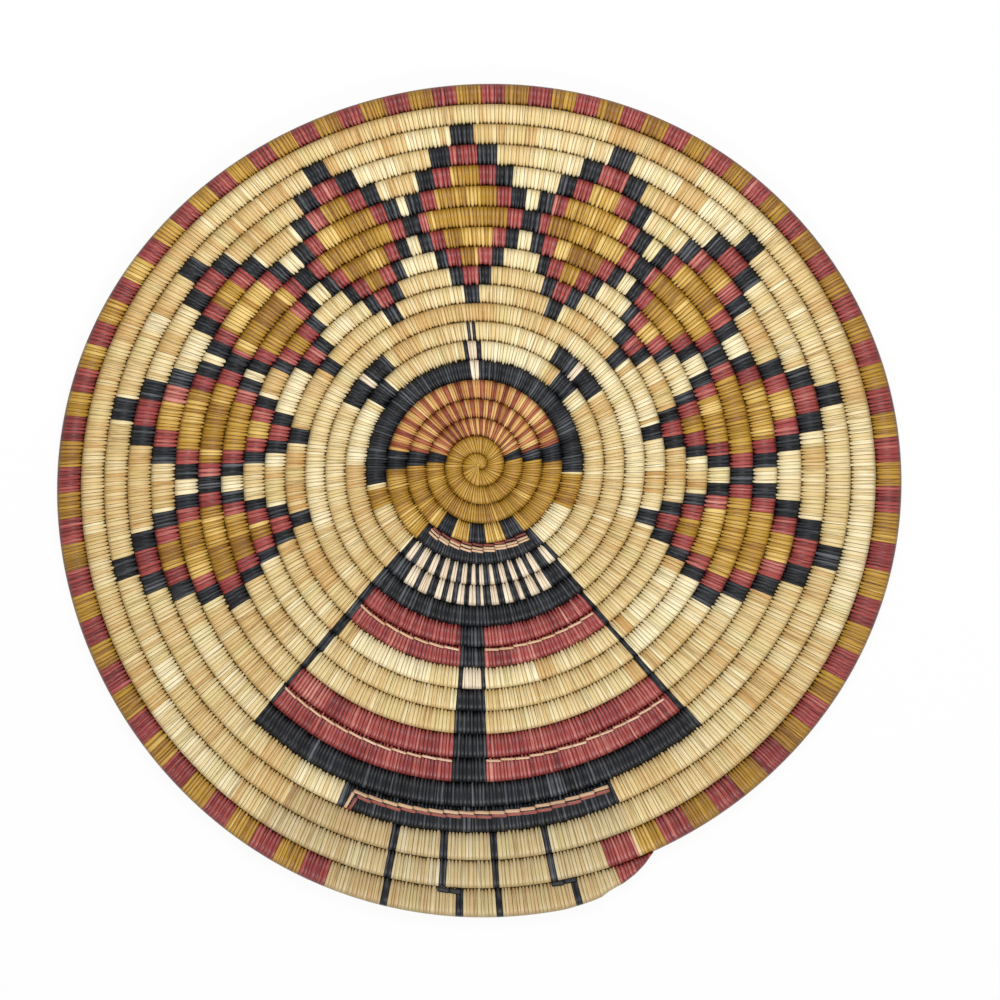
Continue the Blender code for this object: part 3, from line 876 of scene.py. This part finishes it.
# %% Faces of a grid, and its strip map
def grid_faces(rows, sides, start=0, inwards=False):
    """Quads of a closed grid of rows by sides, as an array. Inwards turns them round."""
    row = np.arange(rows - 1)[:, None] * sides + start
    side, following = np.arange(sides), (np.arange(sides) + 1) % sides
    corners = [row + side, row + sides + side, row + sides + following, row + following]
    if inwards:
        corners.reverse()
    return np.stack(corners, -1).reshape(-1, 4)


def joining_faces(outer, inner):
    """Quads between two rings of points, given by their numbers in order."""
    return np.stack([outer, np.roll(outer, -1), np.roll(inner, -1), inner], -1)


def fan_faces(ring, tip):
    """Triangles from each side of a ring to a tip."""
    return np.stack([ring, np.roll(ring, -1), np.full(len(ring), tip)], -1)


def close_ends(grid):
    """The points of a grid, with a tip in the middle of its first and of its last row, and the
    two fans to them."""
    rows, sides, _ = grid.shape
    ring, count = np.arange(sides), rows * sides
    fans = [fan_faces(ring, count), fan_faces(ring[::-1] + count - sides, count + 1)]
    return np.concatenate([grid.reshape(-1, 3), grid[:1].mean(1), grid[-1:].mean(1)]), fans


def grid_map(columns, sides):
    """Two values for each corner of a grid's quads: a column's value and a side's. The sides
    have one value more than the grid, so the last one closes the round."""
    low, high = columns[:-1, None], columns[1:, None]
    here, there = sides[None, :-1], sides[None, 1:]
    corners = ((low, here), (high, here), (high, there), (low, there))
    pairs = [np.stack(np.broadcast_arrays(*pair), -1) for pair in corners]
    return np.stack(pairs, -2).reshape(-1, 2)


print("a grid of 4 rows and 5 sides has", len(grid_faces(4, 5)), "quads")

# %% A piece from arrays
CREASE_ANGLE = 48
PLAIN_VALUE = 0.5           # the tone and the place on the strip where a piece gives none


def make_piece(name, points, quads, triangles, kinds, tones, strip):
    """A piece from arrays. Kinds, tones and strip may be shorter than the faces and corners:
    the rest takes the first face's kind and plain values."""
    faces = quads.tolist() + [face for fan in triangles for face in fan.tolist()]
    mesh = bpy.data.meshes.new(name)
    mesh.from_pydata(points.reshape(-1, 3), [], faces)
    used = np.unique(kinds)
    for kind in used:
        mesh.materials.append(FINISHES[kind])
    every_kind = np.full(len(faces), kinds[0])
    every_kind[:len(kinds)] = kinds
    index = np.searchsorted(used, every_kind).astype(np.int32)
    mesh.polygons.foreach_set("material_index", index)
    every_tone = np.full(len(faces), PLAIN_VALUE, np.float32)
    every_tone[:len(tones)] = tones
    mesh.attributes.new("tone", "FLOAT", "FACE").data.foreach_set("value", every_tone)
    every_corner = np.full((len(mesh.loops), 2), PLAIN_VALUE, np.float32)
    every_corner[:len(strip)] = strip
    mesh.uv_layers.new(name="strip").uv.foreach_set("vector", every_corner.ravel())
    mesh.shade_smooth()
    mesh.set_sharp_from_angle(angle=math.radians(CREASE_ANGLE))
    piece = bpy.data.objects.new(name, mesh)
    bpy.context.scene.collection.objects.link(piece)
    return piece


def stand_for(piece, node):
    """The piece belongs to the plaque's body, and takes its solid's place, which is hidden."""
    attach(piece, "root")
    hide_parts(node)


# %% [markdown]
# ## The stitched surface
#
# A strip is wrapped tightly round the bundle and pressed against the strips beside it. Loose
# copies of one wrapped strip would cut into each other or leave holes. So a sleeve of stitches
# is one surface with two parameters: how far along the coil, and how far round the section.
# Between two stitches the surface sinks into a groove, and over a stitch it swells into a
# strip. At the inner seam each strip narrows to a tooth that lies over the edge of the round
# inside it and goes down into it. The dark points of the seam are the gaps between those
# teeth, with a little painted shade added. Inside is a plain bore for the bundle, so that a
# sleeve is a real tube with a wall.

# %% The shape of one stitch
ALONG_SHARES = np.array([0.0, 0.11, 0.5, 0.89])      # columns of one stitch, from its groove
RIDGE_SHARES = np.array([0.0, 0.8, 1.0, 0.8])        # how far each column rises from the groove
TOOTH_SHARES = np.array([0.0, 0.48, 1.0, 0.48])      # how far each column reaches as a tooth
AROUND_DEGREES = np.array([0, 30, 60, 90, 119, 140, 158, 180, 202, 220, 241, 270, 300, 330])
TOOTH_TIPS = (6, 8)         # numbers of the angles where the teeth end and where they begin
TOOTH_ROOTS = (5, 9)
GROOVE_DEPTH = 0.2 * MM
TOOTH_LENGTH = 0.6 * MM
TOOTH_SPREAD = 0.2 * MM
TOOTH_SHARE_OF_RADIUS = 0.35
TOOTH_SINK = 0.05           # how far a tooth's tip goes into the round inside it, as a height
TOOTH_ROOT = (-0.83, 0.62)  # across and height of a tooth where it leaves its own round
LIFT_SPREAD_SHARE = 0.012
LEAN = 0.45 * MM            # how far a strip's outer end lies ahead of its middle
LEAN_ANGLE = 10             # where it leans most; on the other side it lies straight
LEAN_SPREAD = 0.06 * MM
COLUMNS = len(ALONG_SHARES)
SIDES = len(AROUND_DEGREES)

tooth_lengths = TOOTH_LENGTH + chance.normal(0, TOOTH_SPREAD, stitch_count + 1)
lifts = 1 + chance.normal(0, LIFT_SPREAD_SHARE, stitch_count + 1)
lean_share = 0.5 + 0.5 * np.cos(2 * np.pi * (edges - turn_at(1, LEAN_ANGLE)))
leans = LEAN * lean_share + chance.normal(0, LEAN_SPREAD, stitch_count + 1)
print(COLUMNS * SIDES, "faces for each stitch")


# %% Stitches as a grid of points
def columns_of(first, last):
    """For each column of the stitches from first to last: its stitch, its place in it, its
    turn, and its shares of the ridge and of the tooth. The last column is a groove."""
    stitch = np.repeat(np.arange(first, last), COLUMNS)
    place, ridge, tooth = (
        np.tile(shares, last - first) for shares in (ALONG_SHARES, RIDGE_SHARES, TOOTH_SHARES)
    )
    turn = edges[stitch] + place * (edges[stitch + 1] - edges[stitch])
    ends = (last, 0, edges[last], 0, 0)
    return [np.append(v, end) for v, end in zip((stitch, place, turn, ridge, tooth), ends)]


def stitched_points(first, last):
    """The grid of points, columns by sides. A ridge follows the section's outline, and a groove
    the outline drawn in by its depth, except at the two sides, where the rounds touch. At a
    tooth's tip the surface moves from the outline to a point past the inner seam by the tooth's
    length, at the height of the round inside it, less the sink. The lean turns a strip about
    the middle of the round: its turn changes with the place across."""
    stitch, _, turn, ridge, tooth = columns_of(first, last)
    around = np.radians(AROUND_DEGREES)
    across, height = outline_at(around)
    groove = (GROOVE_DEPTH / (COIL_HEIGHT / 2) * (1 - ridge))[:, None]
    across = across * (1 - groove * abs(np.sin(around)))
    height = height * (1 - groove) * lifts[stitch][:, None]
    inner_radius = np.linalg.norm(seam(turn - 1), axis=-1)
    length = np.clip(tooth_lengths[stitch], 0, TOOTH_SHARE_OF_RADIUS * inner_radius)
    length = length / half_reach(turn)
    tip_height = outline_height(length) - TOOTH_SINK
    for index in TOOTH_TIPS:
        side = np.sign(np.sin(around[index]))
        across[:, index] += tooth * (-1 - length - across[:, index])
        height[:, index] += tooth * (side * tip_height - height[:, index])
    for index in TOOTH_ROOTS:
        side = np.sign(np.sin(around[index]))
        across[:, index] += tooth * (TOOTH_ROOT[0] - across[:, index])
        height[:, index] += tooth * (side * TOOTH_ROOT[1] - height[:, index])
    circle = 2 * np.pi * np.linalg.norm(seam(turn), axis=-1)
    leaning = turn[:, None] + across * (leans[stitch] / circle)[:, None]
    return round_point(np.minimum(leaning, END_TURN), across, height)


thickness = np.ptp(stitched_points(0, stitch_count)[..., 2])
print("the stitched coil is", round(float(thickness) / MM, 2), "mm thick")

# %% A sleeve with its bore
WALL = 0.8 * MM
BORE_STITCHES = 2           # stitches for each step of the bore
TIP_BORE_SHARE = 0.7        # the blind bore at the tip ends at this share of the taper


def inner_points(turns, around, inset):
    """A grid of points inside the round: its outline at some angles, drawn in by the inset."""
    across, height = outline_at(around)
    across = across * (1 - inset / half_reach(turns)[:, None])
    height = np.broadcast_to(height * (1 - inset / (COIL_HEIGHT / 2)), across.shape)
    return round_point(np.broadcast_to(turns[:, None], across.shape), across, height)


def sew(name, first, last, blind=False):
    """A sleeve of the stitches from first to last: the stitched surface, the bore, and the end
    walls between them. A blind sleeve has a fan over each of its far ends instead."""
    outer = stitched_points(first, last)
    far = tip_turn(TIP_BORE_SHARE) if blind else edges[last]
    steps = (last - first) // BORE_STITCHES + 2
    bore = inner_points(np.linspace(edges[first], far, steps), np.radians(AROUND_DEGREES), WALL)
    bore_start = len(outer) * SIDES
    ring = np.arange(SIDES)
    outer_end, bore_end = ring + bore_start - SIDES, ring + bore_start + (steps - 1) * SIDES
    quads = [
        grid_faces(len(outer), SIDES), grid_faces(steps, SIDES, bore_start, inwards=True),
        joining_faces(ring, bore_start + ring),
    ]
    points = [outer.reshape(-1, 3), bore.reshape(-1, 3)]
    fans = []
    if blind:
        points.append(np.stack([outer[-1].mean(0), bore[-1].mean(0)]))
        tip = bore_start + steps * SIDES
        fans = [fan_faces(outer_end[::-1], tip), fan_faces(bore_end, tip + 1)]
    else:
        quads.append(joining_faces(bore_end, outer_end))
    numbers, place, *_ = columns_of(first, last)
    round_places = np.append((AROUND_DEGREES + 180) % 360 / 180 - 1, 0)
    strip = grid_map(numbers + place, round_places)
    wrap = strip.reshape(-1, SIDES, 4, 2)[:, TOOTH_TIPS[0], 2:, 1]
    wrap[:] = 1             # the face before the inner side ends at 1, and the next begins at -1
    stitch = np.repeat(np.arange(first, last), COLUMNS * SIDES)
    points, quads = np.concatenate(points), np.concatenate(quads)
    return make_piece(name, points, quads, fans, dye[stitch], tone[stitch], strip)


print("a sleeve's wall is", round(WALL / MM, 1), "mm thick")

# %% [markdown]
# ## Sewing the sleeves
#
# On the real plaque the wrapping has no breaks. The solids cut it where the dress, the head
# and the rounds change, so that each length has a name. One long surface can't stand for all
# of them. So each length gets one stitched piece that stands for its solid, from the first
# stitch whose middle lies in it to the last, and the pieces meet in a groove, where no cut
# shows.

# %% The lengths of wrapping
# The name, then the row and the angle where the length ends, from the centre outwards.
SLEEVES = (
    ("start_round", 19, TIP_ANGLE), ("head_round_inner", 18, TIP_ANGLE),
    ("head_round_middle", 17, TIP_ANGLE), ("head_round_outer", 16, 228.5), ("collar", 15, -50),
    ("cheek_right", 15, -3), ("hair_arc", 15, 189.5), ("cheek_left", 15, 227),
    ("stripes_upper", 14, -50), ("sweep_14", 14, 227), ("stripes_lower", 13, -49.5),
    ("sweep_13", 13, 226.5), ("belt", 12, -49.5), ("sweep_12", 12, 226.5),
    ("bodice_band_upper", 11, -50), ("sweep_11", 11, 226.5), ("bodice_band_lower", 10, -50),
    ("sweep_10", 9, -49.5), ("sweep_9", 8, -49.5), ("sweep_8", 7, -49.5), ("sweep_7", 7, 226),
    ("skirt_band_upper", 6, -50), ("sweep_6", 6, 226), ("skirt_band_lower", 5, -49.5),
    ("sweep_5", 5, 226), ("hem_upper", 4, -48), ("sweep_4", 4, 246),
    ("hem_lower", 4, TIP_ANGLE), ("round_3", 3, TIP_ANGLE), ("round_2", 2, TIP_ANGLE),
)
TIP_WRAP_SHARE = 0.37       # the last wraps, in red, begin at this share of the taper
sleeve_ends = [*(turn_at(row, angle) for _, row, angle in SLEEVES), tip_turn(TIP_WRAP_SHARE)]
cuts = [0, *np.searchsorted(centres, sleeve_ends), stitch_count]
sleeve_names = [*(name for name, _, _ in SLEEVES), "rim"]
for name, first, last in zip(sleeve_names, cuts, cuts[1:]):
    stand_for(sew("stitched_" + name, first, last), "sewing_" + name)
stand_for(sew("stitched_coil_end", cuts[-2], cuts[-1], blind=True), "coil_end")
print(len(sleeve_names) + 1, "stitched lengths")

# %% [markdown]
# ## The grass bundle
#
# Under the wrapping runs the foundation, a bundle of grass stems laid side by side. Nothing of
# it shows on a finished plaque, but it is what the sleeves are sewn round. A tube for each
# stem would be a lot of faces for something hidden. So its outline is the round's outline
# drawn in, with the stems as small lobes.

# %% The foundation coil
TIP_BUNDLE_SHARE = 0.6      # of the taper's length
STEMS = 11
BUNDLE_INSET = 1.2 * MM
STEM_DEPTH = 0.25 * MM
POINTS_PER_STEM = 2
STEM_LEAF_PLACES = (0.4, 0.3)   # start and length along the strip map, where little is shaded


def make_bundle():
    """The bundle: a grid along the coil with every second point round it drawn in, which
    leaves a lobe for each stem, and a fan over each end."""
    steps = stitch_count // BORE_STITCHES
    sides = STEMS * POINTS_PER_STEM
    turns = np.linspace(edges[0], tip_turn(TIP_BUNDLE_SHARE), steps)
    around = np.linspace(0, 2 * np.pi, sides, endpoint=False)
    lobes, valleys = (inner_points(turns, around, BUNDLE_INSET + d) for d in (0, STEM_DEPTH))
    points = np.where((np.arange(sides) % POINTS_PER_STEM == 0)[:, None], lobes, valleys)
    strip = grid_map(np.arange(steps) * 1.0, np.arange(sides + 1) / POINTS_PER_STEM)[:, ::-1]
    start, length = STEM_LEAF_PLACES
    strip = strip * (1, length / steps) + (0, start)
    points, fans = close_ends(points)
    return make_piece("grass_bundle", points, grid_faces(steps, sides), fans, [GRASS], [], strip)


stand_for(make_bundle(), "foundation_coil")
print(STEMS, "stems in the bundle")

# %% [markdown]
# ## The start knot
#
# The coil begins as a knot of wrapped leaf, with stitches that fan out from a small hollow in
# the middle. A flattened ball would be a simple knot, but a round one. This one's outline is
# the first turn of the seam curve, so it is a little spiral, and there is a step where the
# first round leaves it.

# %% The knot
KNOT_STITCHES = 26
KNOT_PROFILE = ((0.12, 1), (0.3, 1), (0.5, 1), (0.7, 1), (0.85, 1), (0.95, 1), (1.0, 1),
                (1.0, -1), (0.85, -1), (0.5, -1), (0.12, -1))   # share of the radius, side
KNOT_EDGE = 4.4 * MM
KNOT_LEAST_INSET = 0.06         # keeps the edge's two sides apart
HOLLOW_RADIUS = 1.3 * MM
HOLLOW_DEPTH_SHARE = 0.35
KNOT_LEAF_PLACES = (0.35, 0.7)  # along the strip map, from the middle to the middle below
KNOT_TONE = 0.45


def make_knot():
    """The knot: a grid of rows along a profile, from the middle over the edge to the middle
    below, and of columns round it. A point's height is that of a round at the same distance
    from its seam, less a bell-shaped hollow at the middle. The last column joins the first over
    the step, and a fan closes each middle."""
    starts = np.linspace(KNOT_TURNS - 1, KNOT_TURNS, KNOT_STITCHES + 1)
    turn = np.append((starts[:-1, None] + ALONG_SHARES / KNOT_STITCHES).ravel(), starts[-1])
    ridge = np.append(np.tile(RIDGE_SHARES, KNOT_STITCHES), 0)
    share, side = np.array(KNOT_PROFILE).T[..., None]
    outline = seam(turn)
    radius = np.linalg.norm(outline, axis=-1)
    outline = outline * (1 + ROUND_BITE / 2 / radius)[:, None]
    from_edge = np.clip(radius * (1 - share) / KNOT_EDGE, KNOT_LEAST_INSET, 1)
    hollow = np.exp(-(radius * share / HOLLOW_RADIUS) ** 2)
    height = outline_height(from_edge) * (1 - HOLLOW_DEPTH_SHARE * hollow)
    height = side * (height - GROOVE_DEPTH / (COIL_HEIGHT / 2) * (1 - ridge))
    flat = outline * share[..., None] + WEAVE_ORIGIN
    level = COIL_HEIGHT / 2 * (1 + height)[..., None]
    points, fans = close_ends(np.concatenate([flat, level], -1))
    quads = grid_faces(len(share), len(turn))
    numbers = (np.arange(KNOT_STITCHES)[:, None] + ALONG_SHARES).ravel()
    numbers = np.append(numbers, [KNOT_STITCHES, KNOT_STITCHES + 1])
    strip = grid_map(np.linspace(*KNOT_LEAF_PLACES, len(share)), numbers)[:, ::-1]
    tones = np.full(len(quads), KNOT_TONE)
    return make_piece("wrapped_start_knot", points, quads, fans, [OCHRE], tones, strip)


knot = make_knot()
stand_for(knot, "start_knot")
print(len(knot.data.polygons), "faces in the knot")

# %% [markdown]
# ## The laid strips
#
# Over the finished dress the maker laid pale and red strips as running stitches: three lines
# at the collar, two at the hem, turned outwards at its left end, and one through each red
# band. Two black ones join the offset lines between the rim and the row inside it. A bevelled
# curve would be one smooth cord. The real line is a chain of stitches 6 to 8 mm long. Each
# comes up out of the wrapping and goes down into it, and lies a little askew, so that there is
# a step at each joint, and each end gets a dark tick of painted shade. So every running stitch
# is a small grid of its own.

# %% The lines
# How long the running stitches are, and half the sideways step from one to the next
LONG, SHORT = (7.9 * MM, 0.23 * MM), (6.0 * MM, 0.36 * MM)
NARROW, WIDE, BAR = 1.05 * MM, 1.5 * MM, 2.3 * MM
STRAND_GAP = 0.35 * MM
STRIP_THICKNESS = 0.4 * MM
STRIP_GAP = 0.05 * MM
STRIP_STRAY = 0.16 * MM
STRIP_SUNK = 0.2 * MM
STRIP_RAISED = 0.25 * MM
STRIP_STATIONS = 15
STRIP_SIDES = 8
STRIP_SQUARENESS = 14       # a power: the larger, the shorter the slopes at a stitch's two ends
STRIP_LEAF_HALF = 0.42      # how far the strip map reaches from a leaf's middle, of its width
STRIP_LEAF_MIDDLE = 0.4     # the place along the leaf at a stitch's middle, free of shade
# a laid strip's dark end is painted shade, where it goes under the wrapping
TICK_SHARE = 0.04           # how much of a strip's length its dark end takes
# The name, strands side by side, finish, tone, cut and width of a stitch, then the row, the
# angle and the place across at the start and at the end.
LAID_STRIPS = (
    ("collar_red", 1, ROSE, 0.3, SHORT, NARROW, (16, 232.5, -0.97), (15, -55, -0.95)),
    ("collar_cream", 2, CREAM, 0.5, SHORT, NARROW, (16, 232.3, -0.5), (15, -55, -0.5)),
    ("bodice_left", 1, CREAM, 0.6, LONG, NARROW, (11, 228.5, -0.78), (11, 263.5, -0.78)),
    ("bodice_right", 1, CREAM, 0.6, LONG, NARROW, (11, 271.5, -0.78), (10, -51.5, -0.78)),
    ("skirt_left", 1, CREAM, 0.65, LONG, NARROW, (6, 227.1, -0.76), (6, 264.2, -0.84)),
    ("skirt_right", 1, CREAM, 0.65, LONG, NARROW, (6, 271, -0.84), (5, -50.5, -0.76)),
    ("hem_red", 1, ROSE, 0.45, LONG, WIDE, (4, 248.4, -0.34), (4, 292.5, -0.35)),
    ("hem_cream", 1, CREAM, 0.4, LONG, WIDE, (4, 247.6, -0.63), (4, 292.5, -0.63)),
    ("leg_step_left", 1, BLACK, 0.4, LONG, BAR, (1, 263.6, -0.88), (1, 267, -0.88)),
    ("leg_step_right", 1, BLACK, 0.4, LONG, BAR, (1, 279.8, -0.9), (1, 283.4, -0.96)),
    ("hem_corner_red", 1, ROSE, 0.45, LONG, WIDE, (4, 248.5, -0.2), (4, 247.9, 0.95)),
    ("hem_corner_cream", 1, CREAM, 0.5, LONG, WIDE, (4, 247.7, -0.55), (4, 247.2, 0.95)),
)
print(len(LAID_STRIPS), "lines to lay")

# %% Running stitches
TOOTH_END = (-1.12, 0.42)   # across and height of a usual tooth's tip
ridge_across, ridge_height = outline_at(np.radians(AROUND_DEGREES[TOOTH_TIPS[0]::-1]))
ridge_across[:2], ridge_height[:2] = zip(TOOTH_END, TOOTH_ROOT)


def laid_points(cut, width, start, end, offset):
    """Grids of points for a strand of running stitches: stitches by stations by sides. Along
    each one the strip rises from under the surface, stays up and goes under again. Sideways
    it slopes and strays a little. Its section is a flat oval laid on the ridges' outline. The
    offset moves the whole strand across."""
    start_turn, end_turn = turn_at(*start[:2]), turn_at(*end[:2])
    start_across, end_across = start[2] + offset, end[2] + offset
    middle_turn = np.array([(start_turn + end_turn) / 2])
    circle = 2 * np.pi * np.linalg.norm(seam(middle_turn) + seam(middle_turn - 1), axis=-1)[0] / 2
    reach = half_reach(middle_turn)[0]
    run_along = (end_turn - start_turn) * circle
    run_across = (end_across - start_across) * reach
    total = math.hypot(run_along, run_across)
    stitch_length, half_step = cut
    count = max(1, round(total / stitch_length))
    pace = np.array([run_along, run_across]) / total
    sideways = np.array([-pace[1], pace[0]])
    part = np.linspace(0, 1, STRIP_STATIONS)
    length = total / count
    distance = np.arange(count)[:, None] * length + STRIP_GAP / 2 + part * (length - STRIP_GAP)
    stray = chance.normal(0, STRIP_STRAY, count)[:, None] * (count > 1)
    slope = half_step * (2 * part - 1) * (count > 1) + stray
    around = np.linspace(0, 2 * np.pi, STRIP_SIDES, endpoint=False)
    aside = slope[:, :, None] + width / 2 * np.cos(around)
    spot = distance[:, :, None, None] * pace + aside[..., None] * sideways
    turn = start_turn + spot[..., 0] / circle
    across = start_across + spot[..., 1] / reach
    points = round_point(turn, across, np.interp(across, ridge_across, ridge_height))
    slopes = abs(1 - 2 * part) ** STRIP_SQUARENESS
    rise = STRIP_RAISED - (STRIP_SUNK + STRIP_RAISED) * slopes
    points[..., 2] += rise[:, None] + STRIP_THICKNESS / 2 * np.sin(around)
    return points


def lay(name, strands, kind, strip_tone, cut, width, start, end):
    """A piece of a line's running stitches, in one strand or in several side by side, each
    stitch closed by a fan at both ends."""
    offsets = (np.arange(strands) - (strands - 1) / 2) * (width + STRAND_GAP)
    offsets /= half_reach(np.array(turn_at(*start[:2])))
    grids = [laid_points(cut, width, start, end, offset) for offset in offsets.tolist()]
    grids = np.concatenate(grids)
    count, stations, sides, _ = grids.shape
    ring, size = np.arange(sides), stations * sides
    starts = np.arange(count)[:, None, None] * size
    quads = (grid_faces(stations, sides) + starts).reshape(-1, 4)
    tips = np.concatenate([grids[:, 0].mean(1), grids[:, -1].mean(1)])
    fans = []
    for number in range(count):
        start, tip = number * size, count * size + number
        fans.append(fan_faces(ring + start, tip))
        fans.append(fan_faces(ring[::-1] + start + size - sides, tip + count))
    side_places = 0.5 + STRIP_LEAF_HALF * np.cos(np.linspace(0, 2 * np.pi, sides + 1))
    from_end = 0.5 - abs(np.linspace(-0.5, 0.5, stations))
    leaf_places = (TOOTH_TIP, TOOTH_START, STRIP_LEAF_MIDDLE)
    length_places = np.interp(from_end, (0, TICK_SHARE, 0.5), leaf_places)
    strip = grid_map(length_places, side_places)[:, ::-1]
    strip = (strip + np.arange(count)[:, None, None] * (1, 0)).reshape(-1, 2)
    points, tones = np.concatenate([grids.reshape(-1, 3), tips]), np.full(len(quads), strip_tone)
    return make_piece("laid_" + name, points, quads, fans, [kind], tones, strip)


laid = [lay(*strip_values) for strip_values in LAID_STRIPS]
for piece, strip_values in zip(laid, LAID_STRIPS):
    stand_for(piece, "overlay_" + strip_values[0])
print(len(laid), "lines laid, of", sum(len(piece.data.polygons) for piece in laid), "faces")
